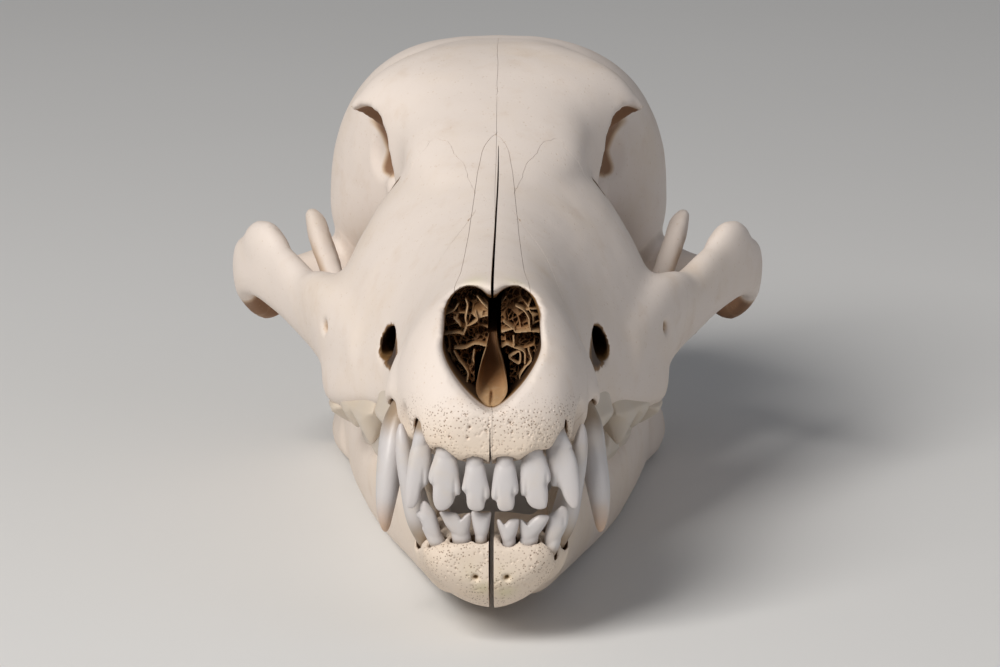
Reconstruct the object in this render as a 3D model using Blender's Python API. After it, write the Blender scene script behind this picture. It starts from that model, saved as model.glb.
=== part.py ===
# Dog skull with its lower jaw, life size, standing on the jaw as on a shelf.
# Shapes are laid out in millimetres in the palate's own frame: X to the animal's left, Y back from the
# front of the upper incisors, Z up from the upper gum line. The last step tips and lowers the whole
# skull until it rests on the jaw, with the origin under the middle of its box.

import math
import random

import bmesh
import bpy
import numpy as np
from mathutils import Matrix, Vector

MM = 0.001

# Driving dimensions, in millimetres
SKULL_LENGTH = 172.0
CHEEK_WIDTH = 93.4
BRAINCASE_WIDTH = 61.0
ORBIT_PROCESS_WIDTH = 50.4
PALATE_WIDTH = 59.0
CANINE_WIDTH = 34.0
VERTEX_HEIGHT = 55.5
SUTURE = 0.3
CHIN_GAP = 0.8
SCROLL_GAP = 0.8
KEEL_GAP = 0.6
REST_TILT = 4.85

# Mesh sizes
VOXEL = 1.0
RING = 28
SKULL_TRIANGLES = 4300
JAW_TRIANGLES = 1050

HALF_CHEEK = CHEEK_WIDTH / 2
HALF_BRAIN = BRAINCASE_WIDTH / 2
HALF_ORBIT = ORBIT_PROCESS_WIDTH / 2
HALF_PALATE = PALATE_WIDTH / 2
HALF_CANINE = CANINE_WIDTH / 2

bones = bpy.data.materials.new("bone")
chance = random.Random(8)


def clear_scene():
    for obj in list(bpy.data.objects):
        bpy.data.objects.remove(obj)


def paint(material, color, roughness):
    material.use_nodes = True
    shader = material.node_tree.nodes["Principled BSDF"]
    shader.inputs["Base Color"].default_value = (*color, 1.0)
    shader.inputs["Roughness"].default_value = roughness
    shader.inputs["Metallic"].default_value = 0.0


def spline(rows, per_span=4):
    """Points on a smooth curve through the rows, whatever number of columns they have."""
    p = np.array(rows, float)
    p = np.vstack([2 * p[0] - p[1], p, 2 * p[-1] - p[-2]])
    t = np.linspace(0, 1, per_span, endpoint=False)[:, None]
    found = []
    for a, b, c, d in zip(p, p[1:], p[2:], p[3:]):
        found.append(0.5 * (2 * b + (c - a) * t + (2 * a - 5 * b + 4 * c - d) * t**2 + (3 * b - a - 3 * c + d) * t**3))
    return np.vstack([*found, p[-2:-1]])


def closed_spline(rows, per_span=4):
    """Points on a smooth closed curve through the rows."""
    p = np.array(rows, float)
    t = np.linspace(0, 1, per_span, endpoint=False)[:, None]
    found = []
    for i in range(len(p)):
        a, b, c, d = (p[(i + k) % len(p)] for k in (-1, 0, 1, 2))
        found.append(0.5 * (2 * b + (c - a) * t + (2 * a - 5 * b + 4 * c - d) * t**2 + (3 * b - a - 3 * c + d) * t**3))
    return np.vstack(found)


def make_object(name, points, faces):
    mesh = bpy.data.meshes.new(name)
    mesh.from_pydata([tuple(p * MM) for p in np.asarray(points, float)], [], faces)
    obj = bpy.data.objects.new(name, mesh)
    bpy.context.scene.collection.objects.link(obj)
    bm = bmesh.new()
    bm.from_mesh(mesh)
    bmesh.ops.recalc_face_normals(bm, faces=bm.faces)
    if bm.calc_volume(signed=True) < 0:
        bmesh.ops.reverse_faces(bm, faces=bm.faces)
    bm.to_mesh(mesh)
    bm.free()
    return obj


def skin(name, rings):
    """A closed body through a row of rings that all have the same number of points."""
    rings = np.asarray(rings, float)
    count, size = rings.shape[:2]
    faces = []
    for i in range(count - 1):
        for j in range(size):
            k = (j + 1) % size
            faces.append((i * size + j, i * size + k, (i + 1) * size + k, (i + 1) * size + j))
    points = np.vstack([rings.reshape(-1, 3), rings[0].mean(0), rings[-1].mean(0)])
    first, last = count * size, count * size + 1
    for j in range(size):
        k = (j + 1) % size
        faces.append((first, k, j))
        faces.append((last, (count - 1) * size + j, (count - 1) * size + k))
    return make_object(name, points, faces)


def oval(half, up, down, top_power, low_power, size):
    """A closed outline, flat where a power is over 2 and pointed where it is under 2."""
    angle = np.linspace(0, 2 * math.pi, size, endpoint=False)
    s, c = np.sin(angle), np.cos(angle)
    power = np.where(c >= 0, top_power, low_power)
    x = half * np.sign(s) * np.abs(s) ** (2 / power)
    z = np.where(c >= 0, up, down) * np.sign(c) * np.abs(c) ** (2 / power)
    return x, z


def loft(name, stations, per_span=4, size=RING, middle=0.0):
    """A body along Y. A station is (y, half width, height of the widest line, top, bottom, top power, low power)."""
    rings = []
    for y, half, wide, top, bottom, top_power, low_power in spline(stations, per_span):
        x, z = oval(half, top - wide, wide - bottom, top_power, low_power, size)
        rings.append(np.column_stack([x + middle, np.full(size, y), z + wide]))
    return skin(name, rings)


def sweep(name, stations, up=(0, 0, 1), per_span=4, size=14, power=2.0):
    """A body along a path. A station is (x, y, z, half thickness, half height) and may end with the angle
    by which the section is rolled."""
    rows = spline([(*row, 0.0)[:6] for row in stations], per_span)
    path = rows[:, :3]
    along = np.gradient(path, axis=0)
    along /= np.linalg.norm(along, axis=1)[:, None]
    rings = []
    for point, tangent, (half, height, roll) in zip(path, along, rows[:, 3:6]):
        side = np.cross(tangent, up)
        side /= np.linalg.norm(side)
        rise = np.cross(side, tangent)
        u, v = oval(half, height, height, power, power, size)
        c, s = math.cos(math.radians(roll)), math.sin(math.radians(roll))
        u, v = u * c + v * s, v * c - u * s
        rings.append(point + u[:, None] * side + v[:, None] * rise)
    return skin(name, rings)


def ball(name, centre, radii, turn=(0, 0, 0), size=20):
    """An ellipsoid, turned by angles in degrees."""
    bm = bmesh.new()
    bmesh.ops.create_uvsphere(bm, u_segments=size, v_segments=size // 2, radius=1.0)
    spin = Matrix.Rotation(math.radians(turn[2]), 4, "Z") @ Matrix.Rotation(math.radians(turn[1]), 4, "Y")
    spin = spin @ Matrix.Rotation(math.radians(turn[0]), 4, "X")
    place = Matrix.Translation(Vector(centre) * MM) @ spin @ Matrix.Diagonal((*[r * MM for r in radii], 1.0))
    bmesh.ops.transform(bm, matrix=place, verts=bm.verts)
    mesh = bpy.data.meshes.new(name)
    bm.to_mesh(mesh)
    bm.free()
    obj = bpy.data.objects.new(name, mesh)
    bpy.context.scene.collection.objects.link(obj)
    return obj


def slab(name, outline, low, high):
    """A prism: an outline of (y, z) points, pushed along X from low to high."""
    outline = np.asarray(outline, float)
    n = len(outline)
    near = np.column_stack([np.full(n, low), outline])
    far = np.column_stack([np.full(n, high), outline])
    faces = [tuple(range(n)), tuple(range(2 * n - 1, n - 1, -1))]
    for i in range(n):
        j = (i + 1) % n
        faces.append((i, j, n + j, n + i))
    return make_object(name, np.vstack([near, far]), faces)


def ribbon(name, rows):
    """A thin sheet through rows of (outer point, inner point), as thick as a suture."""
    rows = np.array(rows, float)
    along = np.gradient(rows.mean(1), axis=0)
    across = rows[:, 1] - rows[:, 0]
    normal = np.cross(along, across)
    normal *= 0.5 * SUTURE / np.linalg.norm(normal, axis=1)[:, None]
    outer, inner = rows[:, 0], rows[:, 1]
    points = np.stack([outer + normal, inner + normal, inner - normal, outer - normal], axis=1).reshape(-1, 3)
    faces = [(0, 1, 2, 3)]
    for i in range(0, 4 * (len(rows) - 1), 4):
        j = i + 4
        faces += [(i, j, j + 1), (i, j + 1, i + 1), (i + 3, j + 3, j + 2), (i + 3, j + 2, i + 2)]
        faces += [(i, j, j + 3, i + 3), (i + 1, j + 1, j + 2, i + 2)]
    last = len(points) - 4
    faces.append((last, last + 1, last + 2, last + 3))
    return make_object(name, points, faces)


def block(name, low, high):
    (x0, y0, z0), (x1, y1, z1) = low, high
    return slab(name, [(y0, z0), (y1, z0), (y1, z1), (y0, z1)], x0, x1)


def mirrored(obj):
    """A copy on the other side of the animal."""
    twin = obj.copy()
    twin.data = obj.data.copy()
    bpy.context.scene.collection.objects.link(twin)
    twin.data.transform(Matrix.Diagonal((-1, 1, 1, 1)))
    twin.data.flip_normals()
    return twin


def both(obj):
    return [obj, mirrored(obj)]


def settle(obj):
    """Makes the object's modifiers part of its mesh."""
    graph = bpy.context.evaluated_depsgraph_get()
    mesh = bpy.data.meshes.new_from_object(obj.evaluated_get(graph))
    obj.modifiers.clear()
    obj.data = mesh
    return obj


def loose_bodies(bm):
    """The separate closed surfaces of a mesh, largest first."""
    left, groups = set(bm.verts), []
    while left:
        stack, group = [left.pop()], set()
        while stack:
            vert = stack.pop()
            group.add(vert)
            for edge in vert.link_edges:
                other = edge.other_vert(vert)
                if other in left:
                    left.remove(other)
                    stack.append(other)
        groups.append(group)
    return sorted(groups, key=len, reverse=True)


def keep_body(obj, near=None):
    """Keeps one closed surface: the one that passes nearest to a point, or else the largest."""
    bm = bmesh.new()
    bm.from_mesh(obj.data)
    groups = loose_bodies(bm)
    keep = groups[0]
    if near is not None:
        point = Vector(near) * MM
        keep = min(groups, key=lambda group: min((v.co - point).length for v in group))
    bmesh.ops.delete(bm, geom=[v for v in bm.verts if v not in keep], context="VERTS")
    bm.to_mesh(obj.data)
    bm.free()
    return obj


def take_apart(obj, seeds):
    """Turns the separate bodies of a mesh into objects, each named by the point that it passes."""
    bodies = {}
    for name, point in seeds.items():
        body = obj.copy()
        body.data = obj.data.copy()
        body.name = name
        bpy.context.scene.collection.objects.link(body)
        bodies[name] = keep_body(body, point)
    bpy.data.objects.remove(obj)
    return bodies


def combine(obj, others, operation, solver="MANIFOLD"):
    """One Boolean with a whole collection of closed bodies, which are then removed."""
    group = bpy.data.collections.new("pieces")
    bpy.context.scene.collection.children.link(group)
    for other in others:
        bpy.context.scene.collection.objects.unlink(other)
        group.objects.link(other)
    change = obj.modifiers.new("combine", "BOOLEAN")
    change.operation = operation
    change.solver = solver
    change.operand_type = "COLLECTION"
    change.collection = group
    settle(obj)
    for other in others:
        bpy.data.objects.remove(other)
    bpy.data.collections.remove(group)
    return obj


def melt(obj, voxel, passes, triangles):
    """Blends fused pieces into one smooth surface with about that many triangles."""
    remesh = obj.modifiers.new("melt", "REMESH")
    remesh.mode = "VOXEL"
    remesh.voxel_size = voxel * MM
    smooth = obj.modifiers.new("smooth", "SMOOTH")
    smooth.factor = 0.5
    smooth.iterations = passes
    settle(obj)
    fewer = obj.modifiers.new("fewer", "DECIMATE")
    fewer.ratio = min(1.0, triangles / (2 * len(obj.data.polygons)))
    return settle(obj)


# Outer masses of the upper skull


def muzzle():
    stations = [
        (-0.5, 7.0, 2.5, 6.0, -0.5, 2.2, 2.2),
        (2.5, 10.8, 2.5, 10.5, -1.2, 2.3, 2.4),
        (7.0, 13.0, 2.5, 17.0, -1.6, 2.3, 2.8),
        (12.0, 14.6, 3.0, 21.5, -1.7, 2.2, 3.2),
        (18.0, 15.6, 3.5, 24.2, -1.7, 2.1, 3.6),
        (26.0, 15.3, 3.5, 25.6, -1.7, 2.1, 3.8),
        (36.0, 15.6, 3.5, 27.4, -1.8, 2.05, 4.0),
        (47.0, 18.0, 3.0, 29.8, -2.2, 1.95, 4.2),
        (57.0, 22.4, 2.4, 32.6, -3.2, 1.82, 4.6),
        (66.0, 26.6, 2.0, 36.0, -5.0, 1.74, 5.0),
        (75.0, HALF_PALATE, 2.0, 40.0, -6.2, 1.7, 5.0),
        (83.0, HALF_PALATE - 1.0, 3.0, 43.0, -5.6, 1.72, 4.4),
        (91.0, 23.0, 5.0, 44.0, -2.0, 1.9, 3.2),
        (98.0, 14.0, 10.0, 42.0, 3.0, 2.0, 2.0),
    ]
    return loft("muzzle", stations)


def brow():
    """The frontal region: a broad roof that reaches out to the process behind each eye."""
    stations = [
        (60.0, 7.0, 28.0, 33.2, 20.0, 2.0, 2.0),
        (70.0, 11.5, 31.0, 37.6, 20.0, 2.2, 2.0),
        (80.0, 15.0, 34.0, 42.8, 18.0, 2.4, 2.0),
        (90.0, 17.0, 37.0, 47.8, 14.0, 2.6, 2.2),
        (98.0, 20.0, 39.0, 50.8, 12.0, 2.7, 1.6),
        (104.0, 22.0, 40.0, 52.4, 12.0, 2.7, 1.5),
        (111.0, 20.5, 38.5, 53.6, 12.0, 2.8, 1.7),
        (120.0, 21.0, 33.0, 54.0, 10.0, 2.8, 2.0),
        (130.0, 22.0, 32.0, 53.0, 10.0, 2.6, 2.0),
    ]
    return loft("brow", stations)


def braincase():
    stations = [
        (104.0, 15.0, 28.0, 49.0, 13.0, 2.4, 2.0),
        (112.0, 18.5, 27.0, 52.2, 10.0, 2.8, 2.0),
        (120.0, 23.6, 25.5, VERTEX_HEIGHT - 1.4, 8.0, 3.0, 2.1),
        (129.0, 28.2, 24.0, VERTEX_HEIGHT - 1.8, 6.5, 2.9, 2.2),
        (138.0, HALF_BRAIN, 23.0, VERTEX_HEIGHT - 3.4, 6.0, 2.6, 2.3),
        (147.0, 29.2, 22.5, 49.8, 6.0, 2.3, 2.3),
        (155.0, 25.6, 22.5, 46.6, 7.0, 2.1, 2.3),
        (162.0, 20.0, 22.5, 42.0, 9.0, 2.0, 2.2),
        (167.0, 12.0, 23.0, 36.0, 13.0, 2.0, 2.0),
    ]
    return loft("braincase", stations)


def crests():
    """The low ridge along the top of the braincase and the lip round its back."""
    crown = sweep(
        "crown",
        [
            (0, 126, 52.4, 2.4, 1.2),
            (0, 138, 51.4, 1.9, 1.8),
            (0, 150, 50.0, 1.7, 2.4),
            (0, 160, 47.4, 1.9, 3.0),
            (0, 168, 45.0, 3.0, 3.0),
            (0, SKULL_LENGTH - 1.0, 43.6, 3.6, 2.6),
        ],
    )
    nape = sweep(
        "nape",
        [
            (0, 168.6, 43.6, 2.6, 3.0),
            (8, 165.6, 41.0, 2.2, 3.2),
            (17, 160.0, 35.0, 2.0, 3.2),
            (23.5, 154.0, 27.0, 2.0, 3.2),
            (26.5, 149.5, 18.5, 2.4, 3.2),
            (26.0, 147.5, 11.0, 2.8, 3.4),
        ],
        up=(0.3, 1, 0.3),
    )
    return [crown, *both(nape)]


def nape_and_base():
    """The back of the head down to the condyles, and the floor of the braincase."""
    back = loft(
        "back",
        [
            (150.0, 24.0, 20.0, 44.0, 6.0, 1.9, 2.4),
            (158.0, 20.0, 18.0, 44.5, 5.5, 1.8, 2.4),
            (164.0, 14.5, 16.0, 43.0, 5.5, 1.6, 2.4),
            (168.0, 9.0, 16.0, 38.0, 8.0, 1.6, 2.2),
        ],
    )
    floor = loft(
        "floor",
        [
            (96.0, 8.0, 14.0, 24.0, 9.0, 2.0, 2.0),
            (110.0, 9.5, 12.0, 24.0, 8.5, 2.0, 2.4),
            (125.0, 12.0, 11.0, 22.0, 6.0, 2.0, 2.6),
            (140.0, 14.0, 11.0, 22.0, 4.5, 2.0, 2.8),
            (152.0, 12.0, 11.0, 22.0, 4.5, 2.0, 2.8),
            (163.0, 10.0, 11.5, 18.0, 6.0, 2.0, 2.4),
        ],
    )
    condyle = ball("condyle", (8.6, 164.5, 12.0), (4.8, 5.6, 7.4), (-24, 0, -26))
    jugular = sweep(
        "jugular",
        [
            (17.5, 152.0, 14.0, 4.0, 4.0),
            (18.0, 153.5, 6.0, 2.6, 3.4),
            (17.4, 154.0, -1.0, 1.8, 2.6),
            (16.8, 153.5, -5.0, 1.2, 1.6),
        ],
        up=(1, 0, 0),
    )
    return [back, floor, *both(condyle), *both(jugular)]


def throat():
    """The paired walls behind the palate that end in small hooks."""
    wall = sweep(
        "wall",
        [
            (9.0, 84.0, 9.0, 2.6, 8.5),
            (8.4, 96.0, 9.5, 1.9, 8.5),
            (7.8, 108.0, 9.5, 1.4, 7.5),
            (7.6, 117.0, 8.5, 1.2, 6.0),
            (7.4, 122.0, 6.0, 1.1, 3.0),
        ],
    )
    hook = sweep("hook", [(7.6, 113.0, 6.5, 1.3, 1.8), (7.3, 119.0, 2.5, 1.1, 1.5), (7.0, 124.0, 0.8, 0.9, 1.0)])
    return [*both(wall), *both(hook)]


def cheek_arch():
    """The cheek bone from the upper jaw, out round the side and back to the braincase."""
    arch = sweep(
        "arch",
        [
            (19.5, 62.0, 6.0, 5.0, 7.0, 0),
            (24.8, 74.0, 7.2, 4.8, 9.4, 6),
            (29.0, 83.0, 9.8, 4.2, 9.6, 14),
            (32.8, 90.0, 12.4, 3.5, 8.2, 16),
            (37.3, 97.5, 16.2, 2.7, 7.4, 8),
            (41.6, 104.0, 16.4, 2.4, 6.2, 4),
            (HALF_CHEEK - 2.3, 110.5, 14.4, 2.2, 5.4, 4),
            (HALF_CHEEK - 2.5, 117.0, 12.0, 2.3, 5.2, 2),
            (HALF_CHEEK - 5.0, 124.0, 9.0, 2.7, 5.0, 0),
            (37.8, 130.0, 9.4, 3.6, 4.2, 0),
            (31.0, 134.5, 10.6, 5.4, 4.6, 0),
            (25.0, 138.0, 12.6, 6.0, 6.0, 0),
        ],
        power=2.3,
        size=16,
    )
    hump = ball("hump", (38.4, 99.0, 20.0), (2.7, 4.2, 4.6), (0, 10, -25))
    joint = sweep(
        "joint",
        [(23.0, 133.4, 9.8, 4.8, 3.4), (31.0, 133.6, 8.6, 5.0, 3.2), (37.5, 131.5, 8.8, 4.4, 3.0)],
    )
    stop = ball("stop", (28.5, 137.2, 4.2), (6.0, 1.9, 4.8), (10, 0, -6))
    return [*both(arch), *both(hump), *both(joint), *both(stop)]


def eye_process():
    """The blunt spur of the brow behind each eye."""
    spur = sweep(
        "spur",
        [
            (14.0, 100.0, 46.5, 6.5, 3.6),
            (19.5, 102.0, 46.0, 4.6, 3.0),
            (23.2, 103.6, 44.6, 2.8, 2.2),
            (HALF_ORBIT, 105.2, 42.6, 1.3, 1.3),
        ],
    )
    return both(spur)


def tooth_bulges():
    canine_root = sweep(
        "canine_root",
        [
            (12.0, 27.0, 17.0, 2.6, 2.6),
            (13.2, 22.5, 10.5, 3.6, 4.0),
            (14.0, 18.0, 4.0, 3.5, 4.6),
        ],
        up=(0, 1, 0),
    )
    return both(canine_root)


# Hollows of the upper skull


# The nasal passage: y, half width, height of the widest line, top, bottom
PASSAGE = [
    (-6.0, 7.9, 14.6, 40.0, 5.2),
    (4.0, 7.9, 14.6, 34.0, 5.7),
    (12.0, 7.8, 14.6, 26.0, 5.9),
    (19.0, 7.6, 14.6, 20.6, 5.9),
    (32.0, 7.4, 14.8, 22.0, 5.9),
    (48.0, 7.4, 15.8, 25.4, 6.2),
    (62.0, 6.8, 18.0, 30.0, 9.0),
    (72.0, 5.4, 22.0, 34.0, 13.0),
    (80.0, 3.6, 26.0, 37.0, 18.0),
    (84.0, 1.2, 29.0, 33.0, 25.0),
]


def passage(shrink=0.0, start=-6.0):
    """The nasal passage as a body. Its two upper lobes leave the roof its middle point."""
    rows = [row for row in PASSAGE if row[0] >= start]
    belly = [(y, half - shrink, wide, top - shrink, low + shrink, 2.0, 1.4) for y, half, wide, top, low in rows]
    lobe = [
        (y, 0.53 * half - shrink, wide + 1.0, top + 2.4 - shrink, wide - 3.0, 2.2, 2.0)
        for y, half, wide, top, low in rows
    ]
    whole = loft("passage", belly, size=24)
    return combine(whole, both(loft("lobe", lobe, middle=3.5, size=18)), "UNION")


def palate_hollow():
    vault = loft(
        "vault",
        [
            (6.0, 4.0, -3.0, 1.0, -6.0, 2.0, 2.0),
            (14.0, 8.2, -3.0, 2.4, -6.0, 2.2, 2.0),
            (30.0, 9.6, -3.0, 3.0, -6.0, 2.2, 2.0),
            (50.0, 12.5, -3.0, 3.4, -8.0, 2.2, 2.0),
            (62.0, 17.0, -3.6, 3.6, -10.0, 2.2, 2.0),
            (72.0, 18.8, -3.6, 3.6, -10.0, 2.2, 2.0),
            (82.0, 18.0, -3.6, 3.6, -10.0, 2.2, 2.0),
            (92.0, 12.0, -3.6, 3.0, -10.0, 2.2, 2.0),
            (100.0, 7.0, -3.0, 3.0, -8.0, 2.2, 2.0),
        ],
    )
    groove = loft(
        "groove",
        [
            (83.0, 3.0, 8.0, 10.0, 6.0, 2.0, 2.0),
            (88.0, 5.6, 7.0, 14.0, 0.0, 2.2, 2.2),
            (94.0, 6.2, 6.0, 14.0, -4.0, 2.3, 2.6),
            (106.0, 6.2, 5.0, 13.0, -4.0, 2.4, 2.8),
            (122.0, 6.2, 3.0, 8.5, -4.0, 2.4, 2.8),
            (130.0, 5.0, 2.0, 5.0, -4.0, 2.4, 2.8),
        ],
    )
    slot = ball("slot", (3.6, 13.5, 2.0), (1.5, 4.2, 5.0))
    notch = ball("notch", (16.4, 9.8, 0.0), (3.7, 3.4, 6.4))
    return [vault, groove, *both(slot), *both(notch)]


def eye_hollows():
    socket = ball("socket", (29.6, 98.4, 30.6), (13.8, 16.4, 12.4), (0, 0, 24))
    well = ball("well", (24.6, 104.0, 19.6), (8.6, 14.6, 8.6), (0, 0, 18))
    temple = ball("temple", (25.5, 108.0, 36.0), (9.6, 11.0, 6.9), (0, 0, 8))
    return [*both(socket), *both(well), *both(temple)]


def small_holes():
    cheek_hole = sweep(
        "cheek_hole",
        [(17.3, 45.0, 8.2, 1.8, 3.7, -26), (18.0, 56.0, 9.0, 1.8, 3.7, -26), (20.6, 72.0, 10.6, 1.4, 2.6, -20)],
    )
    spine = sweep(
        "spine",
        [(0, 176.0, 17.0, 8.4, 6.6), (0, 164.0, 17.6, 7.6, 6.4), (0, 150.0, 20.0, 8.5, 7.5), (0, 140.0, 24.0, 6.0, 6.0)],
    )
    ear = sweep("ear", [(31.0, 141.0, 11.5, 2.8, 3.2), (25.0, 141.0, 10.5, 2.6, 3.0), (18.0, 140.5, 8.0, 2.2, 2.6)])
    return [*both(cheek_hole), spine, *both(ear)]


# Lower jaw, left half


def ramus_side(y, z):
    """How far out the blade at the back of the jaw stands."""
    return 20.2 + 0.18 * (y - 88) + 0.06 * (z + 12) + 0.0051 * (z + 12) ** 2


def ramus():
    outline = closed_spline(
        [
            (84.0, -24.0),
            (82.0, -13.0),
            (90.0, -9.0),
            (96.0, 1.0),
            (101.5, 12.0),
            (106.5, 21.0),
            (112.5, 25.0),
            (118.4, 22.5),
            (121.0, 15.0),
            (121.6, 8.0),
            (125.0, 2.4),
            (131.0, 2.6),
            (132.5, -2.0),
            (129.4, -7.5),
            (130.4, -12.0),
            (136.0, -15.0),
            (140.0, -18.0),
            (138.0, -21.4),
            (128.0, -21.4),
            (114.0, -22.6),
            (98.0, -24.6),
        ],
        3,
    )
    centre = outline.mean(0)
    rings = []
    for share, offset in ((0.0, 1.6), (0.86, 1.6), (1.0, 0.8), (1.0, -0.8), (0.86, -1.6), (0.0, -1.6)):
        ring = outline + (centre - outline) * (1 - share) * (0.22 if share else 0.99)
        rings.append(np.array([(ramus_side(y, z) + offset, y, z) for y, z in ring]))
    return skin("ramus", rings)


def chin():
    """The front of the jaw, where its halves meet."""
    stations = [
        (1.4, 7.6, -17.6, -15.6, -21.5, 2.4, 1.9),
        (4.0, 10.2, -17.2, -14.8, -24.6, 2.4, 1.75),
        (8.0, 11.2, -17.2, -14.2, -26.6, 2.2, 1.7),
        (14.0, 11.8, -17.6, -13.4, -27.4, 2.2, 1.65),
        (20.0, 11.8, -18.0, -13.4, -27.6, 2.2, 1.7),
        (27.0, 9.6, -20.0, -15.0, -27.2, 2.0, 2.0),
    ]
    return loft("chin", stations, size=24)


def jaw_half():
    body = sweep(
        "body",
        [
            (6.0, 14.0, -20.0, 3.0, 5.0, 12),
            (7.2, 20.0, -20.4, 3.5, 6.4, 12),
            (9.0, 30.0, -20.2, 3.8, 7.2, 12),
            (11.0, 43.0, -19.9, 4.1, 7.9, 12),
            (13.6, 56.0, -19.5, 4.4, 8.2, 12),
            (16.6, 70.0, -19.0, 4.4, 8.2, 11),
            (19.6, 84.0, -18.0, 4.1, 8.0, 9),
            (22.2, 97.0, -16.2, 3.4, 8.0, 5),
            (24.4, 109.0, -14.8, 2.6, 7.4, 2),
        ],
        power=2.3,
        size=18,
    )
    canine_root = sweep(
        "canine_root",
        [(7.6, 20.0, -22.5, 2.6, 3.0), (9.0, 15.0, -19.5, 3.0, 4.0), (10.4, 12.4, -15.5, 2.6, 3.6)],
        up=(0, 1, 0),
    )
    front_edge = sweep(
        "front_edge",
        [
            (ramus_side(86, -14), 86.0, -14.0, 3.0, 3.0),
            (ramus_side(95, -1), 95.6, -1.0, 2.4, 2.6),
            (ramus_side(102, 12), 102.4, 11.6, 2.0, 2.4),
            (ramus_side(108, 20), 108.6, 20.0, 1.8, 2.2),
            (ramus_side(113, 22), 113.2, 22.4, 1.6, 1.8),
        ],
        up=(1, 0, 0),
    )
    condyle = sweep(
        "jaw_joint",
        [
            (21.4, 130.2, 0.0, 1.2, 1.2),
            (24.0, 129.8, 0.8, 2.9, 2.5),
            (29.0, 129.4, 1.2, 3.0, 2.6),
            (34.0, 128.6, 1.6, 2.7, 2.4),
            (36.6, 128.0, 1.6, 1.2, 1.2),
        ],
    )
    neck = sweep("neck", [(27.4, 122.5, -7.0, 2.0, 5.0), (28.4, 127.5, -3.0, 3.0, 3.6), (28.8, 129.2, 0.4, 3.2, 2.4)])
    heel = sweep(
        "heel",
        [(26.0, 120.0, -17.2, 2.4, 4.6), (27.2, 130.0, -18.2, 2.8, 3.8), (27.6, 138.4, -18.0, 2.2, 2.6)],
    )
    bulk = [chin(), canine_root, ramus(), front_edge, condyle, neck, heel]
    jaw = combine(body, bulk, "UNION")
    chewing_hollow = ball("chewing_hollow", (33.8, 110.0, -3.6), (7.4, 13.0, 11.5), (0, -8, 11))
    nerve_hole = ball("nerve_hole", (12.6, 22.0, -19.6), (2.2, 1.4, 1.0), (0, 0, 20))
    combine(jaw, [chewing_hollow, nerve_hole], "DIFFERENCE")
    keep_body(melt(jaw, VOXEL, 2, JAW_TRIANGLES))
    far_side = block("far_side", (-30, -20, -60), (CHIN_GAP / 2, 60, 40))
    return combine(jaw, [far_side], "DIFFERENCE")


# Teeth

UPPER, LOWER = -1, 1


def peg(name, path, size=8, up=(0, 1, 0), per_span=2):
    """A canine or an incisor: a station is (x, y, z, half width, half depth) from root to tip."""
    return sweep(name, path, up=up, per_span=per_span, size=size, power=2.2)


def cheek_tooth(name, centre, turn, length, width, heights, way, root=4.0, heel=0.0):
    """A blade of cusps. Heights run evenly from front to back, and heel widens it towards the tongue."""
    along = np.linspace(-0.5, 0.5, len(heights))
    rings = []
    spin = math.radians(turn)
    for share, height in zip(along, heights):
        fat = math.sqrt(max(0.0, 1 - (1.9 * share) ** 4))
        half = 0.5 * width * (0.45 + 0.55 * fat)
        inner = half + heel * max(0.0, 1 - abs(share + 0.15) * 2.4)
        profile = [
            (half * 0.5, -root),
            (half, 0.0),
            (half * 0.92, height * 0.35),
            (half * 0.34, height * 0.85),
            (0.0, height),
            (-half * 0.34, height * 0.82),
            (-inner * 0.92, height * 0.32),
            (-inner, 0.0),
            (-inner * 0.5, -root),
        ]
        ring = []
        for side, rise in profile:
            x = side * math.cos(spin) + share * length * math.sin(spin)
            y = share * length * math.cos(spin) - side * math.sin(spin)
            ring.append((centre[0] + x, centre[1] + y, centre[2] + way * rise))
        rings.append(ring)
    return skin(name, rings)


def spread(most):
    """How far a tooth's tip leans out, a little different for each."""
    return most * chance.uniform(0.3, 1.0)


def upper_incisors(side):
    """Three spade-shaped teeth, each wider and longer than the last. Side is 1 on the left."""
    made = []
    for x, y, z, half, depth, drop, back, most in [
        (2.45, 2.2, 0.2, 2.3, 2.3, 10.0, 2.6, 0.4),
        (7.1, 3.0, 0.8, 2.6, 2.4, 10.6, 2.6, 0.7),
        (11.2, 4.8, 2.4, 2.15, 2.5, 12.2, 2.2, 1.0),
    ]:
        out = spread(most)
        path = [
            (side * (x * 0.94), y + 3.0, z + 4.6, half * 0.6, depth * 0.8),
            (side * x, y + 0.5, z, half * 0.84, depth),
            (side * (x + out * 0.3), y - 0.4, z - drop * 0.35, half, depth * 0.94),
            (side * (x + out * 0.6), y - 1.2, z - drop * 0.65, half * 0.92, depth * 0.66),
            (side * (x + out * 0.9), y - back * 0.7, z - drop * 0.92, half * 0.6, depth * 0.34),
            (side * (x + out), y - back * 0.75, z - drop, half * 0.26, depth * 0.14),
        ]
        made.append(peg("upper_incisor", path))
    return made


def lower_incisors(side):
    made = []
    for x, y, z, half, depth, rise, most in [
        (2.1, 4.8, -16.2, 1.75, 2.0, 5.6, 0.3),
        (5.7, 5.4, -16.2, 2.1, 2.2, 6.0, 0.6),
        (9.4, 6.6, -15.6, 2.3, 2.3, 7.4, 0.9),
    ]:
        out = spread(most)
        path = [
            (side * (x * 0.9), y + 2.5, z - 5.0, half * 0.5, depth * 0.7),
            (side * x, y, z, half * 0.66, depth * 0.9),
            (side * (x + out * 0.4), y - 0.8, z + rise * 0.45, half * 0.96, depth * 0.72),
            (side * (x + out * 0.8), y - 1.2, z + rise * 0.85, half, depth * 0.42),
            (side * (x + out), y - 1.3, z + rise, half * 0.72, depth * 0.2),
        ]
        made.append(peg("lower_incisor", path))
    return made


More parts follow.
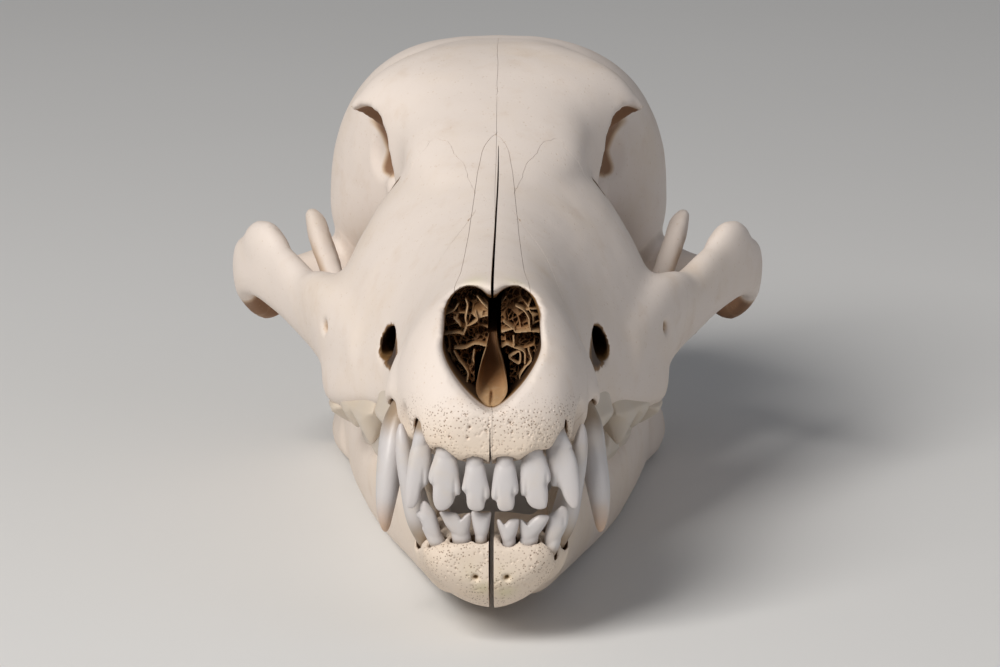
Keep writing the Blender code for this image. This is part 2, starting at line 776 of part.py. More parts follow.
def upper_canine(side):
    path = [
        (side * 13.6, 23.0, 9.0, 2.0, 3.0),
        (side * (HALF_CANINE - 2.0), 18.6, 2.0, 2.5, 3.7),
        (side * (HALF_CANINE - 1.1), 15.8, -3.5, 2.2, 3.2),
        (side * (HALF_CANINE - 0.5), 14.4, -9.0, 2.0, 2.6),
        (side * (HALF_CANINE - 0.2), 14.6, -13.4, 1.5, 1.8),
        (side * (HALF_CANINE - 0.2), 15.2, -15.6, 0.7, 0.8),
    ]
    return peg("upper_canine", path, size=10)


def lower_canine(side):
    path = [
        (side * 9.6, 15.6, -22.0, 2.0, 3.2),
        (side * 11.0, 12.2, -15.0, 2.3, 3.2),
        (side * 12.5, 10.2, -8.5, 1.9, 2.6),
        (side * 13.6, 9.2, -3.5, 1.6, 2.0),
        (side * 14.1, 9.2, 0.2, 1.1, 1.3),
        (side * 14.2, 9.5, 2.2, 0.55, 0.6),
    ]
    return peg("lower_canine", path, size=10)


def upper_cheek_teeth(side):
    """Four premolars and two molars, from the small first one to the long shearing blade and the broad molars."""
    rows = [
        ("premolar_1", (13.4, 26.6, -1.0), 4, 5.4, 3.2, (0.8, 2.4, 3.6, 2.2, 0.8), 0.0),
        ("premolar_2", (14.0, 35.2, -1.0), 5, 9.4, 3.8, (1.0, 2.6, 5.0, 4.0, 2.4, 1.0), 0.0),
        ("premolar_3", (16.6, 46.0, -1.4), 18, 10.8, 4.2, (1.2, 2.8, 4.8, 4.0, 2.8, 2.4, 1.2), 0.0),
        ("shearing_tooth", (23.4, 61.0, -3.4), 22, 16.4, 5.2, (1.4, 5.0, 7.0, 5.6, 3.6, 5.0, 4.4, 1.8), 1.2),
        ("molar_1", (24.6, 74.6, -5.2), 6, 10.2, 10.4, (1.4, 3.6, 4.4, 3.6, 4.0, 3.6, 1.4), 0.6),
        ("molar_2", (22.8, 82.8, -4.8), -6, 6.0, 8.2, (1.0, 2.6, 2.2, 2.4, 1.0), 0.4),
    ]
    made = []
    for name, (x, y, z), turn, length, width, heights, heel in rows:
        made.append(cheek_tooth(name, (x, y, z), turn, length, width, heights, UPPER, heel=heel))
    return made if side > 0 else flip(made)


def lower_cheek_teeth(side):
    rows = [
        ("low_premolar_1", (10.2, 21.2, -13.4), 6, 4.4, 2.8, (0.6, 2.6, 3.2, 2.0, 0.6), 0.0),
        ("low_premolar_2", (11.0, 28.6, -13.0), 8, 8.2, 3.6, (1.0, 3.2, 5.0, 3.6, 2.0, 0.8), 0.0),
        ("low_premolar_3", (12.4, 38.2, -12.6), 10, 9.8, 4.0, (1.0, 3.4, 5.8, 4.4, 2.6, 2.2, 1.0), 0.0),
        ("low_premolar_4", (14.2, 49.0, -12.0), 12, 11.0, 4.4, (1.2, 3.8, 6.8, 5.0, 3.6, 3.0, 1.2), 0.0),
        ("low_shearing_tooth", (16.6, 64.6, -11.4), 13, 19.0, 6.2, (2.0, 6.0, 6.4, 5.2, 8.4, 5.6, 3.4, 3.6, 1.6), 0.0),
        ("low_molar_2", (19.8, 78.6, -10.8), 14, 8.0, 5.6, (1.2, 3.6, 2.8, 3.2, 1.0), 0.0),
        ("low_molar_3", (21.4, 85.2, -10.2), 14, 4.2, 4.0, (0.8, 1.8, 0.8), 0.0),
    ]
    made = []
    for name, centre, turn, length, width, heights, heel in rows:
        made.append(cheek_tooth(name, centre, turn, length, width, heights, LOWER, heel=heel))
    return made if side > 0 else flip(made)


def flip(pieces):
    """Moves pieces to the other side of the animal."""
    for obj in pieces:
        obj.data.transform(Matrix.Diagonal((-1, 1, 1, 1)))
        obj.data.flip_normals()
    return pieces


# Sutures


def nasal_suture():
    rows = []
    for x, y, low in [
        (6.9, 8.0, 14.0),
        (6.0, 18.0, 14.0),
        (4.8, 30.0, 14.0),
        (3.7, 52.0, 16.0),
        (3.0, 66.0, 22.0),
        (1.9, 74.0, 26.0),
        (0.0, 77.5, 28.0),
    ]:
        rows.append([(x, y, 70.0), (x, y, low)])
    return both(ribbon("nasal_suture", rows))


def incisive_suture():
    rows = [
        [(20.0, 8.6, -6.0), (0.0, 15.0, -6.0)],
        [(20.0, 9.6, 0.0), (0.0, 15.5, 0.0)],
        [(20.0, 12.5, 5.0), (0.0, 17.0, 5.0)],
        [(20.0, 17.0, 10.0), (0.0, 19.0, 10.5)],
        [(20.0, 24.0, 15.5), (3.0, 25.0, 15.5)],
        [(19.0, 33.0, 23.0), (3.0, 33.0, 17.0)],
        [(13.0, 43.0, 34.0), (3.0, 43.0, 19.0)],
        [(6.6, 50.0, 42.0), (2.6, 50.0, 21.0)],
        [(4.2, 54.0, 44.0), (2.2, 54.0, 22.0)],
    ]
    return both(ribbon("incisive_suture", rows))


BROW_LINE = [(3.4, 60.0), (4.8, 68.0), (7.4, 74.0), (10.2, 77.0), (13.0, 76.0), (17.0, 80.0), (20.5, 87.0), (28.0, 90.5)]
BROW_FLOOR = 22.0


def brow_suture():
    """Where the frontal bones meet the upper jaw, with the level cut that ends them below."""
    wall = ribbon("brow_wall", [[(x, y, 70.0), (x, y, BROW_FLOOR)] for x, y in BROW_LINE])
    level = []
    for x, y in BROW_LINE:
        level.append([(x, y, BROW_FLOOR), (-1.0, y, BROW_FLOOR)])
    return [*both(wall), *both(ribbon("brow_level", level))]


REAR_LINE = [(119, 72), (118, 50), (115, 38), (104, 27), (88, BROW_FLOOR), (86.5, 8), (86, -12)]


def rear_suture():
    """Where the frontal bones and the palate meet the braincase."""
    return ribbon("rear_suture", [[(27.0, y, z), (-27.0, y, z)] for y, z in REAR_LINE])


def middle_suture():
    line = [(-8, -12), (40, -12), *reversed(REAR_LINE)]
    return ribbon("middle_suture", [[(0, y, 75), (0, y, z)] for y, z in line])


def cheek_sutures():
    front = [(19.0, 100.0), (24.4, 88.5), (28.5, 84.0), (34.0, 80.0), (50.0, 73.0)]
    rear = [(106.0, 26.0), (110.0, 19.0), (121.0, 12.5), (127.0, 3.0)]
    made = both(ribbon("cheek_front", [[(x, y, 30.0), (x, y, -14.0)] for x, y in front]))
    return made + both(ribbon("cheek_rear", [[(54.0, y, z), (35.0, y, z)] for y, z in rear]))


SEEDS = {
    "braincase": (0.0, 140.0, 54.0),
    "frontal_left": (8.0, 100.0, 52.0),
    "frontal_right": (-8.0, 100.0, 52.0),
    "nasal_left": (2.5, 40.0, 28.5),
    "nasal_right": (-2.5, 40.0, 28.5),
    "maxilla_left": (16.0, 45.0, 6.0),
    "maxilla_right": (-16.0, 45.0, 6.0),
    "incisive_left": (8.0, 3.0, 3.0),
    "incisive_right": (-8.0, 3.0, 3.0),
    "zygomatic_left": (43.0, 104.0, 14.0),
    "zygomatic_right": (-43.0, 104.0, 14.0),
}


def upper_skull():
    whole = muzzle()
    masses = [brow(), braincase(), *crests(), *nape_and_base(), *throat(), *cheek_arch()]
    masses += [*eye_process(), *tooth_bulges()]
    combine(whole, masses, "UNION")
    hollows = [passage(), *palate_hollow(), *eye_hollows(), *small_holes()]
    combine(whole, hollows, "DIFFERENCE")
    whole = keep_body(melt(whole, VOXEL, 3, SKULL_TRIANGLES))
    cuts = [*nasal_suture(), *incisive_suture(), *brow_suture(), rear_suture(), middle_suture(), *cheek_sutures()]
    combine(whole, cuts, "DIFFERENCE")
    return take_apart(whole, SEEDS)


def nose_bones():
    """The keel on the passage floor and the scrolled plates on its two walls."""
    keel = loft(
        "vomer",
        [
            (9.0, 0.8, 8.5, 10.5, 6.0, 1.8, 2.0),
            (11.0, 2.2, 9.0, 13.0, 5.0, 1.5, 2.4),
            (14.0, 2.4, 9.0, 15.0, 5.0, 1.2, 2.4),
            (20.0, 1.6, 9.0, 17.0, 5.0, 1.0, 2.4),
            (34.0, 1.1, 9.0, 18.0, 5.0, 1.0, 2.4),
            (56.0, 0.9, 11.0, 20.0, 5.0, 1.0, 2.4),
        ],
        per_span=1,
        size=10,
    )
    combine(keel, [passage(KEEL_GAP, 4.0)], "INTERSECT")
    keel.name = "vomer"
    scrolls = passage(SCROLL_GAP, 4.0)
    ahead = slab("front", [(-20, 0), (9, 0), (9, 7), (23, 26), (23, 60), (-20, 60)], -20, 20)
    slots = [ahead, block("back", (-20, 60, 0), (20, 120, 60))]
    slots.append(loft("middle", [(y, 2.7, 16, 24 + 0.25 * y, 0, 3, 3) for y in (0, 30, 62)], size=8))
    for z, x in ((11.2, 3.5), (14.6, 3.0), (18.0, 2.8)):
        slot = sweep("slot", [(x, 8, z, 3.4, 0.55), (x, 64, z + 1.5, 3.4, 0.55)], per_span=1, size=8)
        slots += both(slot)
    combine(scrolls, slots, "DIFFERENCE")
    bodies = take_apart(scrolls, {"turbinate_left": (6.6, 30, 14), "turbinate_right": (-6.6, 30, 14)})
    bodies["vomer"] = keel
    return bodies


def lower_jaws():
    left = jaw_half()
    right = mirrored(left)
    left.name, right.name = "mandible_left", "mandible_right"
    return {"mandible_left": left, "mandible_right": right}


def add_teeth(bodies):
    for side, hand in ((1, "left"), (-1, "right")):
        combine(bodies[f"incisive_{hand}"], upper_incisors(side), "UNION")
        combine(bodies[f"maxilla_{hand}"], [upper_canine(side), *upper_cheek_teeth(side)], "UNION")
        low = [*lower_incisors(side), lower_canine(side), *lower_cheek_teeth(side)]
        combine(bodies[f"mandible_{hand}"], low, "UNION")


def finish(bodies):
    for name, obj in bodies.items():
        keep_body(obj)
        obj.name = name
        obj.data.name = name
        material = bones.copy()
        material.name = name
        obj.data.materials.clear()
        obj.data.materials.append(material)
        for face in obj.data.polygons:
            face.use_smooth = True
            face.material_index = 0


def stand(bodies):
    """Tips the skull onto the two points where the jaw meets the shelf and moves the origin under its middle."""
    tilt = Matrix.Rotation(math.radians(-REST_TILT), 4, "X")
    for obj in bodies.values():
        obj.data.transform(tilt)
    points = np.array([vert.co for obj in bodies.values() for vert in obj.data.vertices])
    low, high = points.min(0), points.max(0)
    move = Matrix.Translation((-(low[0] + high[0]) / 2, -(low[1] + high[1]) / 2, -low[2]))
    for obj in bodies.values():
        obj.data.transform(move)
    return move @ tilt


def main():
    clear_scene()
    paint(bones, (0.80, 0.74, 0.66), 0.55)
    bodies = {**upper_skull(), **nose_bones(), **lower_jaws()}
    add_teeth(bodies)
    finish(bodies)
    return stand(bodies)


rest = main()
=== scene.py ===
# Dog skull with its lower jaw: each bone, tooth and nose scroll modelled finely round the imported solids.
# Shapes are in millimetres in the palate's own frame: x to the animal's left, y back from the front teeth,
# z up from the upper gum line. The last step sets each piece down in the frame's metres.
import math

import bmesh
import bpy
import numpy as np
from mathutils import Matrix, Vector
from mathutils.bvhtree import BVHTree


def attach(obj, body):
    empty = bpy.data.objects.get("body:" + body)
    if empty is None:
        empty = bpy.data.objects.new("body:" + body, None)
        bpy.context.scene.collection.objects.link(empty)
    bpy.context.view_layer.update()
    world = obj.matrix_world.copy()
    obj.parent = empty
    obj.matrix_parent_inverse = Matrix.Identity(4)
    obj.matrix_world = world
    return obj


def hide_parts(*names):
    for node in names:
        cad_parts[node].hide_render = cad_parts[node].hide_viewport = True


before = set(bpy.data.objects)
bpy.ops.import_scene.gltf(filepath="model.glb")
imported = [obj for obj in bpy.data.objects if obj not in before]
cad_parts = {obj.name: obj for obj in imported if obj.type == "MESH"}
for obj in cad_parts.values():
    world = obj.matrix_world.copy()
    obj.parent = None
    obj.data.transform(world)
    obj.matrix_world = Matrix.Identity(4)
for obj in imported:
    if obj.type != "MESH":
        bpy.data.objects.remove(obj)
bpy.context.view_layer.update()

# How the skull stands: its tilt in degrees and where the palate's origin comes to lie, in metres
stance = dict(tilt=4.85, origin=(0.0, -0.0870097, 0.0329018))
place = Matrix.Translation(stance["origin"]) @ Matrix.Rotation(math.radians(-stance["tilt"]), 4, "X")
place = place @ Matrix.Scale(0.001, 4)

# The camera faces the nose from a little above the palate's plane, turned by half a degree. The outlines of
# the front teeth are worked out from it too.
cameraPlace = dict(distance=800.0, rise=8.0, turn=-0.5, target=(1.4, 8.0, 17.0), lens=184.3, sensor=36.0)
pictureSize = (1000, 667)

# The size of the remeshed faces, in millimetres
meshSizes = dict(blend=0.9, bone=0.6, jaw=0.55, tooth=0.18, cheekTooth=0.28, scroll=0.25)


# Outlines and bodies


def spline(rows, perSpan=6):
    p = np.array(rows, float)
    p = np.vstack([2 * p[0] - p[1], p, 2 * p[-1] - p[-2]])
    t = np.linspace(0, 1, perSpan, endpoint=False)[:, None]
    found = []
    for a, b, c, d in zip(p, p[1:], p[2:], p[3:]):
        square, cube = 2 * a - 5 * b + 4 * c - d, 3 * b - a - 3 * c + d
        found.append(0.5 * (2 * b + (c - a) * t + square * t**2 + cube * t**3))
    return np.vstack([*found, p[-2:-1]])


def closedSpline(rows, perSpan=4):
    looped = [rows[-1], *rows, rows[0], rows[1]]
    return spline(looped, perSpan)[perSpan : -perSpan - 1]


def linked(obj):
    bpy.context.scene.collection.objects.link(obj)
    return obj


def copyOf(obj):
    twin = obj.copy()
    twin.data = obj.data.copy()
    return linked(twin)


def makeObject(name, points, faces):
    mesh = bpy.data.meshes.new(name)
    mesh.from_pydata(np.asarray(points, float).tolist(), [], faces)
    obj = linked(bpy.data.objects.new(name, mesh))
    bm = bmesh.new()
    bm.from_mesh(mesh)
    bmesh.ops.recalc_face_normals(bm, faces=bm.faces)
    if bm.calc_volume(signed=True) < 0:
        bmesh.ops.reverse_faces(bm, faces=bm.faces)
    bm.to_mesh(mesh)
    bm.free()
    return obj


def skin(name, rings):
    # a closed body through rings that all have the same number of points
    rings = np.asarray(rings, float)
    count, size = rings.shape[:2]
    faces = []
    for i in range(count - 1):
        for j in range(size):
            k = (j + 1) % size
            faces.append((i * size + j, i * size + k, (i + 1) * size + k, (i + 1) * size + j))
    first, last = count * size, count * size + 1
    for j in range(size):
        k = (j + 1) % size
        faces += [(first, k, j), (last, (count - 1) * size + j, (count - 1) * size + k)]
    return makeObject(name, np.vstack([rings.reshape(-1, 3), rings[0].mean(0), rings[-1].mean(0)]), faces)


def oval(half, up, down, topPower, lowPower, size):
    angle = np.linspace(0, 2 * math.pi, size, endpoint=False)
    s, c = np.sin(angle), np.cos(angle)
    power = np.where(c >= 0, topPower, lowPower)
    x = half * np.sign(s) * np.abs(s) ** (2 / power)
    z = np.where(c >= 0, up, down) * np.sign(c) * np.abs(c) ** (2 / power)
    return x, z


def loft(name, stations, perSpan=6, size=52, middle=0.0):
    # a station is y, half width, height of the widest line, top, bottom, top power, low power
    rings = []
    for y, half, wide, top, bottom, topPower, lowPower in spline(stations, perSpan):
        x, z = oval(half, top - wide, wide - bottom, topPower, lowPower, size)
        rings.append(np.column_stack([x + middle, np.full(size, y), z + wide]))
    return skin(name, rings)


def sweep(name, stations, up=(0, 0, 1), perSpan=6, size=24, power=2.0):
    # a station is x, y, z, half thickness, half height, and may end with the roll of its section in degrees
    rows = spline([(*row, 0.0)[:6] for row in stations], perSpan)
    along = np.gradient(rows[:, :3], axis=0)
    along /= np.linalg.norm(along, axis=1)[:, None]
    rings = []
    for point, tangent, (half, height, roll) in zip(rows[:, :3], along, rows[:, 3:6]):
        side = np.cross(tangent, up)
        side /= np.linalg.norm(side)
        rise = np.cross(side, tangent)
        u, v = oval(half, height, height, power, power, size)
        c, s = math.cos(math.radians(roll)), math.sin(math.radians(roll))
        u, v = u * c + v * s, v * c - u * s
        rings.append(point + u[:, None] * side + v[:, None] * rise)
    return skin(name, rings)


def ball(name, centre, radii, turn=(0, 0, 0), size=36):
    bm = bmesh.new()
    bmesh.ops.create_uvsphere(bm, u_segments=size, v_segments=size // 2, radius=1.0)
    spin = Matrix.Rotation(math.radians(turn[2]), 4, "Z") @ Matrix.Rotation(math.radians(turn[1]), 4, "Y")
    spin = spin @ Matrix.Rotation(math.radians(turn[0]), 4, "X")
    whole = Matrix.Translation(centre) @ spin @ Matrix.Diagonal((*radii, 1.0))
    bmesh.ops.transform(bm, matrix=whole, verts=bm.verts)
    mesh = bpy.data.meshes.new(name)
    bm.to_mesh(mesh)
    bm.free()
    return linked(bpy.data.objects.new(name, mesh))


def block(name, low, high):
    corners = [(x, y, z) for x in (low[0], high[0]) for y in (low[1], high[1]) for z in (low[2], high[2])]
    sides = [(0, 1, 3, 2), (4, 6, 7, 5), (0, 4, 5, 1), (2, 3, 7, 6), (0, 2, 6, 4), (1, 5, 7, 3)]
    return makeObject(name, corners, sides)


def straight(rows, perSpan):
    rows = np.array(rows, float)
    at = np.linspace(0, len(rows) - 1, (len(rows) - 1) * perSpan + 1)
    return np.column_stack([np.interp(at, np.arange(len(rows)), column) for column in rows.T])


def seam(name, rows, width, wander=0.15, seed=1, perSpan=9, cell=2.5, through=spline):
    # a thin sheet through rows of (outer point, inner point) that wanders as a suture does
    fine = through(np.array(rows, float).reshape(len(rows), 6), perSpan).reshape(-1, 2, 3)
    across = fine[:, 1] - fine[:, 0]
    normal = np.cross(np.gradient(fine.mean(1), axis=0), across)
    normal /= np.linalg.norm(normal, axis=1)[:, None]
    drift = np.random.RandomState(seed).uniform(-1, 1, len(fine) + 2)
    drift = np.convolve(drift, (0.3, 0.4, 0.3), "valid") * wander
    wide = max(2, int(np.linalg.norm(across, axis=1).max() / cell)) + 1
    shares = np.linspace(0, 1, wide)[None, :, None]
    sheet = fine[:, None, 0] + across[:, None] * shares + (normal * drift[:, None])[:, None]
    half = (normal * width / 2)[:, None]
    points = np.stack([sheet + half, sheet - half], axis=2)
    index = np.arange(points.size // 3).reshape(points.shape[:3])
    faces = []
    for i in range(len(fine) - 1):
        for k in range(wide - 1):
            for side in (0, 1):
                a, b = index[i, k, side], index[i + 1, k, side]
                c, d = index[i + 1, k + 1, side], index[i, k + 1, side]
                faces += [(a, b, c), (a, c, d)]
        for k in (0, wide - 1):
            faces.append((index[i, k, 0], index[i, k, 1], index[i + 1, k, 1], index[i + 1, k, 0]))
    for i in (0, len(fine) - 1):
        for k in range(wide - 1):
            faces.append((index[i, k, 0], index[i, k + 1, 0], index[i, k + 1, 1], index[i, k, 1]))
    return makeObject(name, points.reshape(-1, 3), faces)


def flip(obj):
    obj.data.transform(Matrix.Diagonal((-1, 1, 1, 1)))
    obj.data.flip_normals()
    return obj


def both(obj):
    return [obj, flip(copyOf(obj))]


def settle(obj):
    graph = bpy.context.evaluated_depsgraph_get()
    mesh = bpy.data.meshes.new_from_object(obj.evaluated_get(graph))
    obj.modifiers.clear()
    obj.data = mesh
    return obj


def combine(obj, others, operation):
    group = bpy.data.collections.new("pieces")
    bpy.context.scene.collection.children.link(group)
    for other in others:
        bpy.context.scene.collection.objects.unlink(other)
        group.objects.link(other)
    change = obj.modifiers.new("combine", "BOOLEAN")
    change.operation, change.solver = operation, "MANIFOLD"
    change.operand_type, change.collection = "COLLECTION", group
    settle(obj)
    for other in others:
        bpy.data.objects.remove(other)
    bpy.data.collections.remove(group)
    return obj


def melt(obj, voxel, passes=0):
    remesh = obj.modifiers.new("melt", "REMESH")
    remesh.mode, remesh.voxel_size = "VOXEL", voxel
    if passes:
        smooth = obj.modifiers.new("smooth", "SMOOTH")
        smooth.factor, smooth.iterations = 0.5, passes
    return settle(obj)


def looseBodies(obj):
    bpy.ops.object.select_all(action="DESELECT")
    obj.select_set(True)
    bpy.context.view_layer.objects.active = obj
    bpy.ops.mesh.separate(type="LOOSE")
    return list(bpy.context.selected_objects)


def keepLargest(obj):
    bodies = sorted(looseBodies(obj), key=lambda body: len(body.data.vertices))
    keep = bodies.pop()
    for body in bodies:
        bpy.data.objects.remove(body)
    return keep


def pointsOf(obj):
    co = np.empty(len(obj.data.vertices) * 3, np.float32)
    obj.data.vertices.foreach_get("co", co)
    return co.reshape(-1, 3).astype(float)


def setPoints(obj, points):
    obj.data.vertices.foreach_set("co", points.astype(np.float32).ravel())
    obj.data.update()


def normalsOf(obj):
    n = np.empty(len(obj.data.vertices) * 3, np.float32)
    obj.data.vertex_normals.foreach_get("vector", n)
    return n.reshape(-1, 3).astype(float)


def edgesOf(obj):
    edges = np.empty(len(obj.data.edges) * 2, np.int32)
    obj.data.edges.foreach_get("vertices", edges)
    return edges.reshape(-1, 2)


def takeApart(obj, seeds):
    # each loose body is named by the point that it passes nearest to
    bodies = looseBodies(obj)
    clouds = [pointsOf(body) for body in bodies]
    named = {}
    sizes = sorted((len(cloud) for cloud in clouds), reverse=True)
    print("loose bodies of", sizes[: len(seeds) + 2], "points")
    for name, point in seeds.items():
        gaps = [np.linalg.norm(cloud - point, axis=1).min() for cloud in clouds]
        body = bodies[int(np.argmin(gaps))]
        body.name = name
        named[name] = body
    for body in bodies:
        if body not in named.values():
            bpy.data.objects.remove(body)
    return named


# Surface detail


def softNoise(points, size, seed):
    # smooth bumps from -1 to 1, that many millimetres across
    table = np.random.RandomState(seed).uniform(-1, 1, (32, 32, 32))
    p = points / size + 100.0
    cell = np.floor(p).astype(int)
    t = p - cell
    t = t * t * (3 - 2 * t)
    value = 0.0
    for corner in range(8):
        step = np.array([corner & 1, corner >> 1 & 1, corner >> 2 & 1])
        i, j, k = ((cell + step) % 32).T
        value = value + np.where(step, t, 1 - t).prod(1) * table[i, j, k]
    return value


def rise(values, low, high):
    t = np.clip((values - low) / (high - low), 0, 1)
    return t * t * (3 - 2 * t)


def average(values, edges):
    # each point's mean over its neighbours
    count = len(values)
    a, b = edges.T
    share = np.bincount(a, minlength=count) + np.bincount(b, minlength=count)
    made = np.empty_like(values)
    for k in range(values.shape[1]):
        total = np.bincount(a, values[b, k], count) + np.bincount(b, values[a, k], count)
        made[:, k] = total / np.maximum(share, 1)
    return made


def hollowness(obj, rounds, scale):
    # how far the surface lies below its smoothed self, from -1 on edges to 1 in grooves
    points, edges = pointsOf(obj), edgesOf(obj)
    smooth = points
    for _ in range(rounds):
        smooth = 0.5 * smooth + 0.5 * average(smooth, edges)
    return np.clip(((smooth - points) * normalsOf(obj)).sum(1) / scale, -1, 1)


def addMask(obj, name, values):
    layer = obj.data.attributes.new(name, "FLOAT", "POINT")
    layer.data.foreach_set("value", np.asarray(values, np.float32))


def refine(obj, inside):
    bm = bmesh.new()
    bm.from_mesh(obj.data)
    keep = inside(pointsOf(obj))
    edges = [e for e in bm.edges if keep[e.verts[0].index] and keep[e.verts[1].index]]
    bmesh.ops.subdivide_edges(bm, edges=edges, cuts=1, use_grid_fill=True, smooth=0.0)
    bm.to_mesh(obj.data)
    bm.free()


def undulate(obj, broad, fine, seed):
    points = pointsOf(obj)
    lift = broad * softNoise(points, 11.0, seed) + fine * softNoise(points, 3.2, seed + 1)
    setPoints(obj, points + normalsOf(obj) * lift[:, None])


def soften(obj, rounds):
    # smooths the surface where it turns sharply, so that rims have no steps
    weight = rise(np.abs(hollowness(obj, 8, 0.5)), 0.1, 0.6)[:, None]
    points, edges = pointsOf(obj), edgesOf(obj)
    for _ in range(rounds):
        points += weight * (average(points, edges) - points)
    setPoints(obj, points)


def sinkPits(obj, centres):
    # sinks the surface round each (x, y, z, radius, depth)
    points, normals = pointsOf(obj), normalsOf(obj)
    sunk = np.zeros(len(points))
    for x, y, z, radius, depth in centres:
        near = np.flatnonzero(np.abs(points - (x, y, z)).max(1) < 2.5 * radius)
        gap = np.linalg.norm(points[near] - (x, y, z), axis=1)
        sunk[near] = np.maximum(sunk[near], depth * np.exp(-((gap / radius) ** 2)))
    setPoints(obj, points - normals * sunk[:, None])


def frontPits(obj, seed, count, xMost, zLow, zHigh, sizes):
    # seeded pores on the surface that faces forward
    draw = np.random.RandomState(seed)
    points, normals = pointsOf(obj), normalsOf(obj)
    ahead = np.flatnonzero((normals[:, 1] < -0.35) & (points[:, 1] < 14))
    found = []
    for _ in range(count):
        x, z = draw.uniform(-xMost, xMost), draw.uniform(zLow, zHigh)
        radius = draw.uniform(*sizes)
        gaps = np.hypot(points[ahead, 0] - x, points[ahead, 2] - z) + 0.05 * points[ahead, 1]
        spot = points[ahead[int(np.argmin(gaps))]]
        found.append((*spot, radius, radius * 1.1))
    return found


def nearFront(obj, x, z):
    # the foremost surface point at that x and z
    points = pointsOf(obj)
    near = points[np.hypot(points[:, 0] - x, points[:, 2] - z) < 0.6]
    return near[int(np.argmin(near[:, 1]))] if len(near) else np.array((x, 0.0, z))


# Masses of the upper skull

skull = dict(length=172.0, halfCheek=46.7, halfBrain=30.5, halfOrbit=25.2, halfPalate=29.5, vertex=55.5)


def muzzle():
    half = skull["halfPalate"]
    stations = [
        (-0.3, 6.6, 2.5, 6.0, -2.0, 2.2, 2.6),
        (2.5, 10.6, 2.5, 10.5, -3.0, 2.3, 3.0),
        (7.0, 13.0, 2.5, 17.0, -3.0, 2.3, 3.0),
        (12.0, 14.6, 3.0, 21.5, -2.4, 2.2, 3.2),
        (18.0, 15.6, 3.5, 24.2, -2.0, 2.1, 3.6),
        (26.0, 15.3, 3.5, 25.6, -2.0, 2.1, 3.8),
        (36.0, 15.6, 3.5, 27.4, -2.0, 2.05, 4.0),
        (47.0, 18.0, 3.0, 29.8, -2.4, 1.95, 4.2),
        (57.0, 22.4, 2.4, 32.6, -3.2, 1.82, 4.6),
        (66.0, 26.6, 2.0, 36.0, -5.0, 1.74, 5.0),
        (75.0, half, 2.0, 40.0, -6.2, 1.7, 5.0),
        (83.0, half - 1.0, 3.0, 43.0, -5.6, 1.72, 4.4),
        (91.0, 23.0, 5.0, 44.0, -2.0, 1.9, 3.2),
        (98.0, 14.0, 10.0, 42.0, 3.0, 2.0, 2.0),
    ]
    return loft("muzzle", stations)


def brow():
    stations = [
        (60.0, 7.0, 28.0, 33.2, 20.0, 2.0, 2.0),
        (70.0, 11.5, 31.0, 37.6, 20.0, 2.2, 2.0),
        (80.0, 15.0, 34.0, 42.8, 18.0, 2.4, 2.0),
        (90.0, 16.6, 37.0, 47.8, 14.0, 2.6, 2.2),
        (97.0, 20.2, 39.4, 51.0, 12.0, 2.6, 1.7),
        (103.0, 24.6, 40.6, 52.8, 12.0, 2.5, 1.5),
        (108.0, 24.2, 40.0, 53.8, 12.0, 2.6, 1.6),
        (113.0, 21.2, 38.0, 54.2, 12.0, 2.7, 1.8),
        (120.0, 21.0, 33.0, 54.0, 10.0, 2.8, 2.0),
        (130.0, 22.0, 32.0, 53.0, 10.0, 2.6, 2.0),
    ]
    return loft("brow", stations)


def braincase():
    top = skull["vertex"]
    stations = [
        (104.0, 15.0, 28.0, 49.0, 13.0, 2.4, 2.0),
        (112.0, 18.5, 27.0, 52.2, 10.0, 2.8, 2.0),
        (120.0, 23.6, 25.5, top - 1.4, 8.0, 3.0, 2.1),
        (129.0, 28.2, 24.0, top - 1.8, 6.5, 2.9, 2.2),
        (138.0, skull["halfBrain"], 23.0, top - 3.4, 6.0, 2.6, 2.3),
        (147.0, 29.2, 22.5, 49.8, 6.0, 2.3, 2.3),
        (155.0, 25.6, 22.5, 46.6, 7.0, 2.1, 2.3),
        (162.0, 20.0, 22.5, 42.0, 9.0, 2.0, 2.2),
        (167.0, 12.0, 23.0, 36.0, 13.0, 2.0, 2.0),
    ]
    return loft("braincase", stations)


def crests():
    crown = [
        (0, 126, 52.4, 2.4, 1.2),
        (0, 138, 51.4, 1.9, 1.8),
        (0, 150, 50.0, 1.7, 2.4),
        (0, 160, 47.4, 1.9, 3.0),
        (0, 168, 45.0, 3.0, 3.0),
        (0, skull["length"] - 1.0, 43.6, 3.6, 2.6),
    ]
    nape = [
        (0, 168.6, 43.6, 2.6, 3.0),
        (8, 165.6, 41.0, 2.2, 3.2),
        (17, 160.0, 35.0, 2.0, 3.2),
        (23.5, 154.0, 27.0, 2.0, 3.2),
        (26.5, 149.5, 18.5, 2.4, 3.2),
        (26.0, 147.5, 11.0, 2.8, 3.4),
    ]
    return [sweep("crown", crown), *both(sweep("nape", nape, up=(0.3, 1, 0.3)))]


